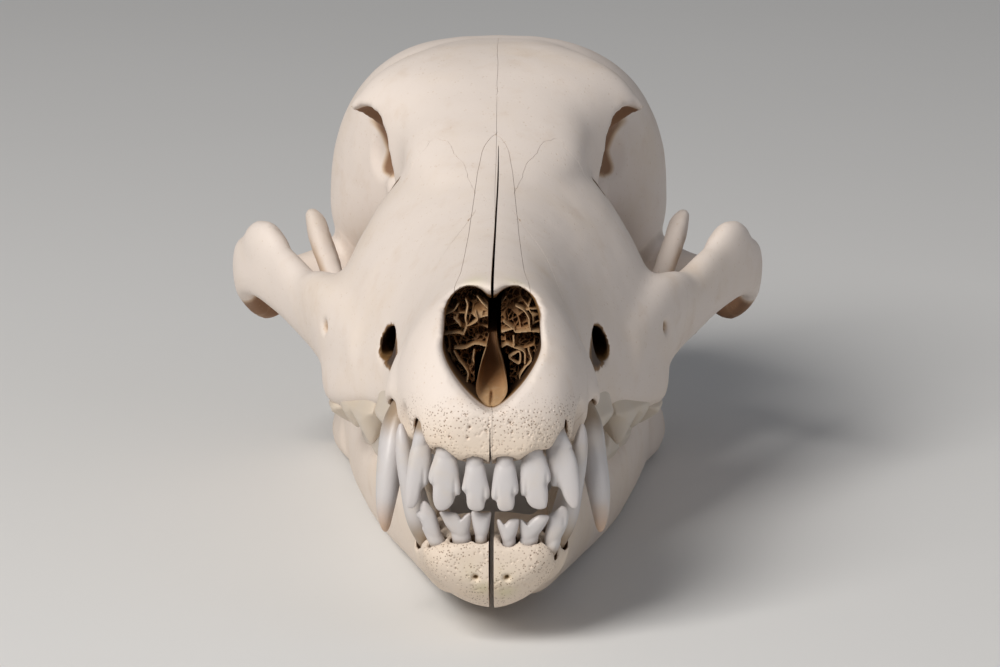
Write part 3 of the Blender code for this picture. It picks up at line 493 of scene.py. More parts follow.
def napeAndBase():
    back = [
        (150.0, 24.0, 20.0, 44.0, 6.0, 1.9, 2.4),
        (158.0, 20.0, 18.0, 44.5, 5.5, 1.8, 2.4),
        (164.0, 14.5, 16.0, 43.0, 5.5, 1.6, 2.4),
        (168.0, 9.0, 16.0, 38.0, 8.0, 1.6, 2.2),
    ]
    floor = [
        (96.0, 8.0, 14.0, 24.0, 9.0, 2.0, 2.0),
        (110.0, 9.5, 12.0, 24.0, 8.5, 2.0, 2.4),
        (125.0, 12.0, 11.0, 22.0, 6.0, 2.0, 2.6),
        (140.0, 14.0, 11.0, 22.0, 4.5, 2.0, 2.8),
        (152.0, 12.0, 11.0, 22.0, 4.5, 2.0, 2.8),
        (163.0, 10.0, 11.5, 18.0, 6.0, 2.0, 2.4),
    ]
    condyle = ball("condyle", (8.6, 164.5, 12.0), (4.8, 5.6, 7.4), (-24, 0, -26))
    jugular = [
        (17.5, 152.0, 14.0, 4.0, 4.0),
        (18.0, 153.5, 6.0, 2.6, 3.4),
        (17.4, 154.0, -1.0, 1.8, 2.6),
        (16.8, 153.5, -5.0, 1.2, 1.6),
    ]
    made = [loft("back", back), loft("floor", floor), *both(condyle)]
    return made + both(sweep("jugular", jugular, up=(1, 0, 0)))


def throat():
    wall = [
        (9.0, 84.0, 9.0, 2.6, 8.5),
        (8.4, 96.0, 9.5, 1.9, 8.5),
        (7.8, 108.0, 9.5, 1.4, 7.5),
        (7.6, 117.0, 8.5, 1.2, 6.0),
        (7.4, 122.0, 6.0, 1.1, 3.0),
    ]
    hook = [(7.6, 113.0, 6.5, 1.3, 1.8), (7.3, 119.0, 2.5, 1.1, 1.5), (7.0, 124.0, 0.8, 0.9, 1.0)]
    return [*both(sweep("wall", wall)), *both(sweep("hook", hook))]


def cheekArch():
    out = skull["halfCheek"]
    arch = [
        (19.5, 62.0, 6.0, 5.0, 7.0, 0),
        (24.8, 74.0, 7.2, 4.8, 9.4, 6),
        (28.6, 83.0, 9.0, 4.2, 8.8, 14),
        (32.4, 90.0, 10.4, 3.4, 6.6, 14),
        (36.9, 97.0, 13.6, 2.9, 6.6, 8),
        (41.4, 104.0, 15.4, 2.5, 6.2, 4),
        (out - 2.3, 110.5, 14.2, 2.2, 5.4, 4),
        (out - 2.7, 117.0, 11.4, 2.2, 5.0, 2),
        (out - 5.6, 124.0, 8.2, 2.4, 5.2, 0),
        (37.8, 130.0, 9.4, 3.6, 4.2, 0),
        (31.0, 134.5, 10.6, 5.4, 4.6, 0),
        (25.0, 138.0, 12.6, 6.0, 6.0, 0),
    ]
    hump = ball("hump", (40.2, 102.4, 18.5), (3.1, 6.8, 5.6), (0, 10, -32))
    joint = [(23.0, 133.4, 9.8, 4.8, 3.4), (31.0, 133.6, 8.6, 5.0, 3.2), (37.5, 131.5, 8.8, 4.4, 3.0)]
    stop = ball("stop", (28.5, 137.2, 4.2), (6.0, 1.9, 4.8), (10, 0, -6))
    return [*both(sweep("arch", arch, power=2.3)), *both(hump), *both(sweep("joint", joint)), *both(stop)]


def eyeProcess():
    spur = [
        (14.0, 104.0, 45.0, 4.0, 3.0),
        (19.0, 104.4, 44.8, 3.4, 2.4),
        (22.8, 105.0, 43.8, 2.6, 1.9),
        (skull["halfOrbit"] + 0.6, 106.0, 42.4, 1.5, 1.3),
    ]
    return both(sweep("spur", spur))


def toothBulges():
    root = [(10.6, 27.0, 15.0, 2.2, 2.6), (12.6, 23.0, 9.5, 3.4, 4.4), (13.9, 19.0, 4.0, 3.7, 5.2)]
    return both(sweep("canineRoot", root, up=(0, 1, 0)))


# Hollows of the upper skull

# The nasal passage: y, half width, height of the widest line, top, bottom
passageRows = [
    (-6.0, 7.9, 14.6, 40.0, 5.2),
    (4.0, 7.9, 14.6, 34.0, 5.7),
    (12.0, 7.8, 14.6, 26.0, 5.9),
    (19.0, 7.6, 14.6, 20.6, 5.9),
    (32.0, 7.4, 14.8, 22.0, 5.9),
    (48.0, 7.4, 15.8, 25.4, 6.2),
    (62.0, 6.8, 18.0, 30.0, 9.0),
    (72.0, 5.4, 22.0, 34.0, 13.0),
    (80.0, 3.6, 26.0, 37.0, 18.0),
    (84.0, 1.2, 29.0, 33.0, 25.0),
]


# Its two upper lobes: how far out they lie, their share of its half width, and how far they reach above it
passageLobe = dict(middle=3.5, width=0.53, above=2.4)


def passage():
    belly = [(*row, 2.0, 1.4) for row in passageRows]
    rows = []
    for y, half, wide, top, _ in passageRows:
        half, top = passageLobe["width"] * half, top + passageLobe["above"]
        rows.append((y, half, wide + 1.0, top, wide - 3.0, 2.2, 2.0))
    lobe = loft("lobe", rows, middle=passageLobe["middle"], size=36)
    return combine(loft("passage", belly, size=44), both(lobe), "UNION")


def palateHollow():
    vault = [
        (6.0, 4.0, -3.0, 1.0, -6.0, 2.0, 2.0),
        (14.0, 8.2, -3.0, 2.4, -6.0, 2.2, 2.0),
        (30.0, 9.6, -3.0, 3.0, -6.0, 2.2, 2.0),
        (50.0, 12.5, -3.0, 3.4, -8.0, 2.2, 2.0),
        (62.0, 17.0, -3.6, 3.6, -10.0, 2.2, 2.0),
        (72.0, 18.8, -3.6, 3.6, -10.0, 2.2, 2.0),
        (82.0, 18.0, -3.6, 3.6, -10.0, 2.2, 2.0),
        (92.0, 12.0, -3.6, 3.0, -10.0, 2.2, 2.0),
        (100.0, 7.0, -3.0, 3.0, -8.0, 2.2, 2.0),
    ]
    groove = [
        (83.0, 3.0, 8.0, 10.0, 6.0, 2.0, 2.0),
        (88.0, 5.6, 7.0, 14.0, 0.0, 2.2, 2.2),
        (94.0, 6.2, 6.0, 14.0, -4.0, 2.3, 2.6),
        (106.0, 6.2, 5.0, 13.0, -4.0, 2.4, 2.8),
        (122.0, 6.2, 3.0, 8.5, -4.0, 2.4, 2.8),
        (130.0, 5.0, 2.0, 5.0, -4.0, 2.4, 2.8),
    ]
    slot = ball("slot", (3.6, 13.5, 2.0), (1.5, 4.2, 5.0))
    notch = ball("notch", (15.7, 9.9, 0.2), (3.9, 4.0, 6.4))
    return [loft("vault", vault), loft("groove", groove), *both(slot), *both(notch)]


def eyeHollows():
    socket = ball("socket", (29.4, 98.6, 31.2), (12.6, 15.4, 12.4), (0, 0, 24))
    well = ball("well", (24.6, 104.0, 19.6), (8.6, 14.6, 8.6), (0, 0, 18))
    temple = ball("temple", (26.0, 112.5, 34.0), (8.6, 7.0, 7.4), (0, 0, 8))
    pocket = ball("pocket", eyePocket["centre"], eyePocket["radii"], (0, 0, 12))
    return [*both(socket), *both(well), *both(temple), *both(pocket)]


# The deep corner of the eye socket under the process, and the rim round it as x and z, behind which shade is
# painted in brown
eyePocket = dict(centre=(21.6, 103.0, 35.4), radii=(7.8, 8.6, 8.5))
eyeShadeRim = [(25.4, 40.9), (23.4, 41.4), (21.2, 41.0), (19.2, 39.2), (18.2, 37.0), (17.6, 34.8), (18.4, 32.0)]
# The underside of the rear cheek arch, where shade is painted in brown: x, y, z
archShadeSpots = [(42.0, 117.0, 5.6), (39.6, 123.0, 4.0), (36.0, 128.0, 4.6)]


# The path of each small hole, as the stations of a sweep
holes = dict(
    cheek=[
        (19.0, 38.0, 8.4, 1.3, 3.2, -26),
        (16.8, 50.0, 9.8, 1.5, 3.4, -26),
        (14.2, 64.0, 11.0, 1.2, 2.4, -20),
    ],
    spine=[
        (0, 176, 17.0, 8.4, 6.6),
        (0, 164, 17.6, 7.6, 6.4),
        (0, 150, 20.0, 8.5, 7.5),
        (0, 140, 24.0, 6.0, 6.0),
    ],
    ear=[(31.0, 141.0, 11.5, 2.8, 3.2), (25.0, 141.0, 10.5, 2.6, 3.0), (18.0, 140.5, 8.0, 2.2, 2.6)],
    tear=[(17.0, 83.6, 33.0, 0.4, 0.7), (18.4, 84.0, 30.6, 0.6, 0.9), (19.2, 84.6, 28.4, 0.4, 0.7)],
)


def smallHoles():
    made = [sweep("spine", holes["spine"])]
    for name in ("cheek", "ear", "tear"):
        made += both(sweep(name, holes[name]))
    return made


# Sutures, as rows of an outer and an inner point

browLine = [(3.4, 60.0), (4.8, 68.0), (7.4, 75.0), (10.2, 79.0), (13.0, 78.0), (17.0, 81.0), (20.5, 87.0)]
browLine += [(28.0, 90.5)]
browFloor = 22.0
rearLine = [(119, 72), (118, 50), (115, 38), (104, 27), (88, browFloor), (86.5, 8), (86, -12)]


def nasalSeams():
    line = [(6.9, 8, 14), (6.0, 18, 14), (4.8, 30, 14), (3.7, 52, 16), (3.0, 66, 22), (1.9, 74, 26)]
    line += [(-0.4, 77.8, 28)]
    return both(seam("nasalSeam", [[(x, y, 70.0), (x, y, low)] for x, y, low in line], 0.07, 0.12, 2))


def incisiveSeams():
    rows = [
        [(20.0, 8.6, -6.0), (-0.8, 15.0, -6.0)],
        [(20.0, 9.6, 0.0), (-0.8, 15.5, 0.0)],
        [(20.0, 12.5, 5.0), (-0.8, 17.0, 5.0)],
        [(20.0, 17.0, 10.0), (-0.8, 19.0, 10.5)],
        [(20.0, 24.0, 15.5), (3.0, 25.0, 15.5)],
        [(19.0, 33.0, 23.0), (3.0, 33.0, 17.0)],
        [(13.0, 43.0, 34.0), (3.0, 43.0, 19.0)],
        [(6.6, 50.0, 42.0), (2.6, 50.0, 21.0)],
        [(4.2, 54.0, 44.0), (2.2, 54.0, 22.0)],
    ]
    return both(seam("incisiveSeam", rows, 0.05, 0.2, 3))


def browSeams():
    wall = seam("browWall", [[(x, y, 70.0), (x, y, browFloor - 0.8)] for x, y in browLine], 0.05, 0.4, 4)
    reach = [(4.4, 59.0), (5.9, 68.0), (8.6, 75.0), (15.0, 78.8), (18.4, 81.4), (22.0, 87.0), (29.0, 91.0)]
    level = [[(x, y, browFloor), (-1.0, y, browFloor)] for x, y in reach]
    return [*both(wall), *both(seam("browLevel", level, 0.05, 0.0, 5, through=straight))]


def rearSeam():
    rows = [[(27.0, y, z), (-27.0, y, z)] for y, z in rearLine]
    return seam("rearSeam", rows, 0.07, 0.4, 6, 12, through=straight)


def middleSeam():
    line = [(-8, -12), (12, -12), (40, -12)] + [(y + 0.6, z - 0.6) for y, z in reversed(rearLine)]
    rows = [[(0.1, y, 75), (0.1, y, z)] for y, z in line]
    return seam("middleSeam", rows, 0.05, 0.2, 7, 14, through=straight)


def nasalGap():
    # the nasal bones stand a little apart along the middle, most at their tips
    bars = [(0.0, 8.0, 26.0, 0.28, 9.0), (0.1, 30.0, 28.0, 0.22, 9.0), (0.3, 50.0, 32.0, 0.16, 9.0)]
    bars += [(0.5, 64.0, 35.0, 0.13, 8.0), (0.5, 74.0, 40.0, 0.05, 8.0)]
    return sweep("nasalGap", bars, size=16)


def lipGap():
    # the front suture opens towards the teeth
    bars = [(-0.15, 1.0, 3.4, 0.04, 5.0), (-0.15, 1.0, 0.4, 0.11, 5.0), (-0.1, 1.0, -2.2, 0.22, 5.0)]
    return sweep("lipGap", [*bars, (-0.1, 1.0, -5.0, 0.32, 5.0)], up=(0, 1, 0), size=12)


def cheekSeams():
    front = [(19.0, 100.0), (24.4, 88.5), (28.5, 84.0), (34.0, 80.0), (50.0, 73.0)]
    rear = [(106.0, 26.0), (110.0, 19.0), (121.0, 12.5), (127.0, 3.0)]
    made = both(seam("cheekFront", [[(x, y, 30.0), (x, y, -14.0)] for x, y in front], 0.05, 0.4, 8))
    return made + both(seam("cheekRear", [[(54.0, y, z), (35.0, y, z)] for y, z in rear], 0.08, 0.3, 9))


# The paired bones of the upper skull: the node that each stands for, and a point on the left one
pairedBones = dict(
    frontalBone=("frontal", (8.0, 100.0, 52.0)),
    nasalBone=("nasal", (2.5, 40.0, 28.5)),
    upperJaw=("maxilla", (16.0, 45.0, 6.0)),
    incisiveBone=("incisive", (8.0, 3.0, 3.0)),
    cheekBone=("zygomatic", (43.0, 104.0, 14.0)),
)
skullSeeds = dict(braincaseBone=(0.0, 140.0, 54.0))
skullNodes = dict(braincaseBone="braincase")
for bone, (node, (x, y, z)) in pairedBones.items():
    for hand, side in (("Left", 1), ("Right", -1)):
        skullSeeds[bone + hand] = (side * x, y, z)
        skullNodes[bone + hand] = f"{node}_{hand.lower()}"


# Teeth


def peg(name, path, size=28, grow=0.0):
    # a station is x, y, z, half width, half depth, from the root to the tip
    rows = [(x, y, z, half + grow, depth + grow) for x, y, z, half, depth in path]
    return sweep(name, rows, up=(0, 1, 0), perSpan=7, size=size, power=2.15)


def canine(name, path):
    body = melt(peg(name, path), meshSizes["tooth"], 2)
    body.name = name
    return body


# Where the enlarged crop of the photo lies in which the front teeth's outlines were read
toothCrop = dict(left=395.0, top=395.0, scale=7.295)

# Each front tooth: how far back its neck lies, the way its crown points, how far back the crown's face lies,
# its outline as points of the crop (column, row), its root's end, and the shallow grooves between its lobes
# as (x, low, high)
incisors = dict(
    upperIncisorRight1=dict(
        y=2.3,
        way=-1,
        face=0.6,
        outline=[(575, 448), (620, 465), (648, 510), (662, 570), (676, 640), (690, 700), (688, 755)]
        + [(668, 765), (656, 790), (650, 830), (622, 850), (575, 848), (538, 830), (522, 790)]
        + [(516, 735), (500, 712), (484, 690), (492, 640), (506, 570), (516, 510), (540, 465)],
        root=(-2.4, 7.0, 5.0),
        grooves=[(-3.75, -7.6, -4.6), (-1.05, -8.6, -5.4)],
    ),
    upperIncisorLeft1=dict(
        y=2.3,
        way=-1,
        face=0.6,
        outline=[(808, 448), (850, 468), (874, 520), (886, 590), (898, 650), (902, 700), (892, 728)]
        + [(876, 738), (874, 790), (860, 835), (825, 850), (775, 848), (748, 820), (738, 780)]
        + [(712, 766), (700, 735), (704, 680), (716, 600), (730, 525), (752, 470)],
        root=(2.0, 7.0, 5.0),
        grooves=[(0.95, -8.2, -5.0), (3.5, -7.8, -5.2)],
    ),
    upperIncisorRight2=dict(
        y=3.2,
        way=-1,
        face=1.4,
        outline=[(362, 382), (405, 400), (440, 455), (462, 540), (472, 620), (478, 700), (470, 738)]
        + [(442, 742), (425, 790), (385, 835), (330, 850), (292, 825), (276, 760), (272, 672)]
        + [(256, 655), (242, 615), (250, 560), (272, 490), (296, 425), (325, 392)],
        root=(-6.6, 8.0, 6.6),
        grooves=[(-8.95, -6.6, -3.4), (-5.7, -8.2, -4.4)],
    ),
    upperIncisorLeft2=dict(
        y=3.2,
        way=-1,
        face=1.4,
        outline=[(1005, 378), (1050, 392), (1085, 440), (1112, 510), (1132, 570), (1138, 615), (1128, 645)]
        + [(1112, 660), (1118, 730), (1115, 790), (1100, 828), (1045, 838), (1000, 825), (966, 790)]
        + [(948, 745), (922, 735), (910, 690), (912, 610), (918, 520), (936, 440), (965, 392)],
        root=(6.0, 8.0, 6.6),
        grooves=[(8.65, -6.4, -3.2), (5.5, -8.0, -4.6)],
    ),
    upperIncisorRight3=dict(
        y=5.4,
        way=-1,
        face=3.6,
        outline=[(188, 272), (225, 300), (252, 370), (266, 460), (262, 560), (241, 645), (222, 668)]
        + [(192, 700), (171, 770), (145, 822), (110, 834), (82, 820), (74, 750), (76, 650)]
        + [(88, 530), (106, 420), (132, 340), (160, 290)],
        root=(-9.6, 12.0, 9.0),
        grooves=[(-10.6, -6.8, -3.0)],
    ),
    upperIncisorLeft3=dict(
        y=5.4,
        way=-1,
        face=3.6,
        outline=[(1185, 262), (1232, 300), (1285, 385), (1322, 480), (1340, 580), (1350, 690), (1346, 770)]
        + [(1330, 822), (1300, 832), (1262, 800), (1228, 745), (1205, 690), (1175, 672), (1140, 668)]
        + [(1128, 600), (1108, 500), (1098, 410), (1112, 330), (1145, 280)],
        root=(9.3, 12.0, 9.0),
        grooves=[(10.3, -6.8, -3.4)],
    ),
    lowerIncisorRight1=dict(
        y=4.3,
        way=1,
        face=2.8,
        outline=[(556, 850), (600, 850), (640, 858), (695, 852), (699, 880), (689, 950), (675, 1015)]
        + [(660, 1055), (625, 1075), (595, 1055), (575, 1000), (562, 929)],
        root=(-1.5, 8.0, -21.0),
    ),
    lowerIncisorLeft1=dict(
        y=4.3,
        way=1,
        face=2.8,
        outline=[(742, 910), (768, 909), (795, 945), (830, 908), (885, 898), (906, 915), (896, 985)]
        + [(872, 1055), (845, 1110), (818, 1126), (790, 1095), (764, 1020), (748, 960)],
        root=(2.2, 8.0, -21.0),
    ),
    lowerIncisorRight2=dict(
        y=4.9,
        way=1,
        face=3.4,
        outline=[(322, 852), (380, 850), (440, 858), (468, 880), (486, 914), (505, 880), (548, 857)]
        + [(557, 890), (546, 970), (532, 1045), (505, 1088), (470, 1080), (420, 1030), (370, 960)]
        + [(335, 890)],
        root=(-4.4, 9.0, -20.5),
    ),
    lowerIncisorLeft2=dict(
        y=4.9,
        way=1,
        face=3.4,
        outline=[(904, 907), (935, 920), (958, 965), (978, 925), (1040, 878), (1101, 873), (1124, 892)]
        + [(1100, 945), (1060, 1010), (1010, 1070), (960, 1108), (930, 1098), (914, 1040), (904, 970)],
        root=(4.6, 9.0, -20.5),
    ),
    lowerIncisorRight3=dict(
        y=6.2,
        way=1,
        face=4.6,
        outline=[(212, 772), (248, 800), (290, 860), (318, 950), (342, 1040), (348, 1095), (318, 1112)]
        + [(270, 1085), (220, 1015), (178, 919), (152, 880), (160, 850), (175, 852), (182, 800)],
        root=(-6.4, 11.0, -19.6),
        grooves=[(-11.2, -12.0, -10.2)],
    ),
    lowerIncisorLeft3=dict(
        y=6.2,
        way=1,
        face=4.6,
        outline=[(1215, 808), (1250, 826), (1264, 875), (1255, 950), (1215, 1045), (1165, 1120), (1120, 1136)]
        + [(1092, 1100), (1091, 1020), (1108, 950), (1119, 905), (1105, 884), (1135, 862), (1170, 840)],
        root=(6.8, 11.0, -19.6),
        grooves=[(11.35, -12.8, -10.6)],
    ),
)


# The crowns' thickness at the neck and how much of it is gone at the edge, how far the edge leans forward,
# how round the faces are, and the width and depth of the grooves
crownForm = dict(thick=1.7, thinner=1.0, lean=1.5, roundness=2.8, grooveWidth=0.26, grooveDepth=0.2)
rootForm = dict(neckBand=2.2, width=0.3)


def crownOutline(form):
    # the outline as (x, z) to a tenth of a millimetre, where the lines of sight meet the crown's face.
    # The camera's turn is too small to matter here.
    lift = math.radians(cameraPlace["rise"])
    c, s = math.cos(lift), math.sin(lift)
    middle, back, height = cameraPlace["target"]
    focal = pictureSize[0] * cameraPlace["lens"] / cameraPlace["sensor"]
    behind = form["face"] - back
    found = []
    for column, row in form["outline"]:
        across = (toothCrop["left"] + column / toothCrop["scale"] - pictureSize[0] / 2) / focal
        up = (pictureSize[1] / 2 - toothCrop["top"] - row / toothCrop["scale"]) / focal
        above = (up * (cameraPlace["distance"] + behind * c) - behind * s) / (c + up * s)
        depth = cameraPlace["distance"] + behind * c - above * s
        found.append((round(middle + across * depth, 1), round(height + above, 1)))
    return found


def neckHeight(form):
    heights = [z for x, z in crownOutline(form)]
    return min(heights) if form["way"] > 0 else max(heights)


def crownBody(name, form, grow=0.0, extra=0.0):
    # a rounded crown inside its outline, thickest near the neck and leaning forward to its edge
    edge = closedSpline(crownOutline(form), 4)
    centre = edge.mean(0)
    spokes = edge - centre
    spokes *= (1 + grow / np.linalg.norm(spokes, axis=1))[:, None]
    neck = neckHeight(form)
    reach = np.ptp(edge[:, 1]) * form["way"]
    shares = (0.03, 0.25, 0.45, 0.62, 0.76, 0.87, 0.95, 0.99)
    rings = []
    for share, side in [(s, -1) for s in shares] + [(1.0, 0)] + [(s, 1) for s in reversed(shares)]:
        ring = centre + spokes * share
        past = np.clip((ring[:, 1] - neck) / reach, 0, 1)
        thick = crownForm["thick"] - crownForm["thinner"] * past + extra
        thick = thick * math.sqrt(1 - share ** crownForm["roundness"])
        y = form["y"] - crownForm["lean"] * past + side * thick
        rings.append(np.column_stack([ring[:, 0], y, ring[:, 1]]))
    return skin(name, rings)


def rootBody(name, form, grow=0.0):
    edge = np.array(crownOutline(form))
    neck, way = neckHeight(form), form["way"]
    middle = edge[np.abs(edge[:, 1] - neck) < rootForm["neckBand"]].mean(0)[0]
    half = rootForm["width"] * np.ptp(edge[:, 0])
    x, y, z = form["root"]
    path = [
        (x, y, z, half * 0.6, 1.1),
        ((x + middle) / 2, form["y"] + 1.0, neck - way * 1.6, half * 0.95, 1.7),
        (middle, form["y"], neck + way * 0.8, half, 1.6),
        (edge[:, 0].mean(), form["y"] - 0.6, neck + way * 3.4, half, 0.9),
    ]
    return peg(name, path, 24, grow)


def incisor(name, form):
    body = combine(crownBody(name, form), [rootBody("root", form)], "UNION")
    melt(body, meshSizes["tooth"], 2)
    points, normals = pointsOf(body), normalsOf(body)
    for x, low, high in form.get("grooves", ()):
        window = rise(points[:, 2], low - 0.6, low + 0.4) * rise(-points[:, 2], -high, -high + 2.0)
        groove = np.exp(-(((points[:, 0] - x) / crownForm["grooveWidth"]) ** 2))
        points[:, 1] += crownForm["grooveDepth"] * window * groove * rise(-normals[:, 1], 0.1, 0.5)
    setPoints(body, points)
    body.name = name
    return body


def upperCaninePath(side):
    out = 16.9 if side < 0 else 17.2
    return [
        (side * 11.4, 24.6, 10.0, 1.0, 1.6),
        (side * 12.9, 21.4, 5.8, 1.8, 2.6),
        (side * 15.0, 18.4, 1.0, 2.4, 3.5),
        (side * 16.0, 16.0, -3.8, 2.15, 3.1),
        (side * (out - 0.35), 14.6, -8.6, 1.85, 2.5),
        (side * out, 14.5, -12.4, 1.35, 1.75),
        (side * out, 14.8, -14.8, 0.75, 0.95),
        (side * (out - 0.05), 15.1, -15.7, 0.22, 0.28),
    ]


def lowerCaninePath(side):
    return [
        (side * 8.6, 17.4, -20.5, 1.1, 1.8),
        (side * 9.9, 13.8, -16.8, 1.8, 2.6),
        (side * 11.4, 11.2, -12.6, 2.15, 3.0),
        (side * 12.6, 9.8, -7.4, 1.85, 2.4),
        (side * 13.6, 9.2, -2.8, 1.45, 1.8),
        (side * 14.1, 9.3, 0.6, 0.95, 1.15),
        (side * 14.25, 9.6, 2.5, 0.3, 0.35),
    ]


cheekToothRoot = 4.2


def cheekTooth(name, centre, turn, length, width, heights, heel, way):
    # a blade of cusps, whose heights run evenly from front to back and whose heel widens it inwards
    fine = spline([(i, h) for i, h in enumerate(heights)], 4)
    along = np.linspace(-0.5, 0.5, len(fine))
    spin = math.radians(turn)
    rings = []
    for share, height in zip(along, fine[:, 1]):
        fat = math.sqrt(max(0.0, 1 - (1.9 * share) ** 4))
        half = 0.5 * width * (0.45 + 0.55 * fat)
        inner = half + heel * max(0.0, 1 - abs(share + 0.15) * 2.4)
        profile = [
            (half * 0.34, -cheekToothRoot),
            (half * 0.7, -1.4),
            (half, 0.3),
            (half * 0.94, height * 0.35),
            (half * 0.66, height * 0.62),
            (half * 0.3, height * 0.88),
            (0.0, height),
            (-half * 0.32, height * 0.86),
            (-inner * 0.62, height * 0.6),
            (-inner * 0.92, height * 0.32),
            (-inner, 0.3),
            (-inner * 0.7, -1.4),
            (-inner * 0.34, -cheekToothRoot),
        ]
        ring = []
        for side, up in profile:
            x = side * math.cos(spin) + share * length * math.sin(spin)
            y = share * length * math.cos(spin) - side * math.sin(spin)
            ring.append((centre[0] + x, centre[1] + y, centre[2] + way * up))
        rings.append(ring)
    return skin(name, rings)


# Each cheek tooth: centre, turn in degrees, length, width, cusp heights, heel
upperCheekTeeth = dict(
    upperPremolar1=((13.4, 26.6, -1.0), 4, 5.4, 3.2, (0.6, 2.4, 4.0, 2.2, 0.6), 0.0),
    upperPremolar2=((14.0, 35.2, -1.0), 5, 9.4, 3.8, (0.8, 2.2, 5.4, 3.2, 2.8, 0.8), 0.0),
    upperPremolar3=((16.6, 46.0, -1.4), 18, 10.8, 4.2, (0.8, 2.4, 5.4, 3.6, 3.2, 2.6, 0.8), 0.0),
    upperShearingTooth=((21.6, 61.6, -2.6), 21, 16.2, 5.0, (1.0, 3.4, 6.2, 5.0, 2.8, 4.4, 4.0, 1.4), 1.6),
    upperMolar1=((23.2, 74.6, -4.0), 6, 10.2, 10.2, (1.0, 3.0, 3.8, 2.6, 3.6, 3.0, 1.0), 0.6),
    upperMolar2=((21.8, 82.8, -4.2), -6, 6.0, 8.0, (0.8, 2.8, 2.0, 2.6, 0.8), 0.4),
)
lowerCheekTeeth = dict(
    lowerPremolar1=((10.2, 21.2, -13.4), 6, 4.4, 2.8, (0.6, 2.6, 3.4, 2.0, 0.6), 0.0),
    lowerPremolar2=((11.0, 28.6, -13.0), 8, 8.2, 3.6, (0.8, 3.0, 5.4, 3.4, 2.0, 0.8), 0.0),
    lowerPremolar3=((12.4, 38.2, -12.6), 10, 9.8, 4.0, (0.8, 3.0, 6.2, 4.0, 2.6, 2.4, 0.8), 0.0),
    lowerPremolar4=((14.2, 49.0, -12.0), 12, 11.0, 4.4, (0.8, 3.4, 7.0, 4.6, 3.6, 3.2, 1.0), 0.0),
    lowerShearingTooth=(
        (16.6, 64.6, -11.4), 13, 19.0, 6.2, (1.4, 6.0, 6.6, 4.6, 8.8, 5.6, 3.2, 3.8, 1.4), 0.0
    ),
    lowerMolar2=((19.8, 78.6, -10.8), 14, 8.0, 5.6, (0.8, 3.8, 2.6, 3.4, 0.8), 0.0),
    lowerMolar3=((21.4, 85.2, -10.2), 14, 4.2, 4.0, (0.6, 2.0, 0.6), 0.0),
)


def allTeeth():
    # each tooth's name, the bone it grows from, its finished body and the height of its neck
    made = {}
    for name, form in incisors.items():
        made[name] = ("incisive" if form["way"] < 0 else "mandible", incisor(name, form), neckHeight(form))
    for side, hand in ((1, "Left"), (-1, "Right")):
        made["upperCanine" + hand] = ("maxilla", canine("upperCanine" + hand, upperCaninePath(side)), 0.6)
        made["lowerCanine" + hand] = ("mandible", canine("lowerCanine" + hand, lowerCaninePath(side)), -13.6)
        for rows, node, way in ((upperCheekTeeth, "maxilla", -1), (lowerCheekTeeth, "mandible", 1)):
            for name, form in rows.items():
                body = cheekTooth(name + hand, *form, way)
                body = body if side > 0 else flip(body)
                made[name + hand] = (node, melt(body, meshSizes["cheekTooth"], 3), form[0][2])
    return made


socketGap = 0.4


def sockets(way, caninePath):
    made = [peg("socket", caninePath(side), 24, socketGap) for side in (1, -1)]
    for form in incisors.values():
        if form["way"] == way:
            made += [crownBody("socket", form, socketGap, 1.6), rootBody("socket", form, socketGap)]
    return made


# Lower jaw


def ramusSide(y, z):
    # the side plate's distance from the middle, which hardly changes along the upper part
    high = min(max((z - 2) / 14, 0), 1)
    return 20.2 + 0.18 * ((y - 88) * (1 - high) + 17 * high) + 0.06 * (z + 12) + 0.0058 * (z + 12) ** 2


def ramus():
    outline = [(84.0, -24.0), (82.0, -13.0), (90.0, -9.0), (96.0, 1.0), (101.5, 12.0), (106.5, 21.0)]
    outline += [(112.5, 25.0), (118.4, 22.5), (121.0, 15.0), (121.6, 8.0), (125.0, 2.4), (131.0, 2.6)]
    outline += [(132.5, -2.0), (129.4, -7.5), (130.4, -12.0), (136.0, -15.0), (140.0, -18.0), (138.0, -21.4)]
    outline = closedSpline(outline + [(128.0, -21.4), (114.0, -22.6), (98.0, -24.6)], 5)
    centre = outline.mean(0)
    half = [(0.01, 1.4), (0.93, 1.4), (0.98, 1.1), (1.0, 0.5)]
    rings = []
    for share, offset in half + [(share, -offset) for share, offset in reversed(half)]:
        ring = centre + (outline - centre) * share
        rings.append(np.array([(ramusSide(y, z) + offset, y, z) for y, z in ring]))
    return skin("ramus", rings)


def chin():
    stations = [
        (1.4, 7.6, -17.6, -15.0, -21.5, 2.6, 1.9),
        (4.0, 10.2, -17.2, -14.4, -24.6, 2.6, 1.75),
        (8.0, 11.2, -17.2, -14.0, -26.6, 2.4, 1.7),
        (14.0, 11.8, -17.6, -13.4, -27.4, 2.2, 1.65),
        (20.0, 11.8, -18.0, -13.4, -27.6, 2.2, 1.7),
        (27.0, 9.6, -20.0, -15.0, -27.2, 2.0, 2.0),
    ]
    return loft("chin", stations)


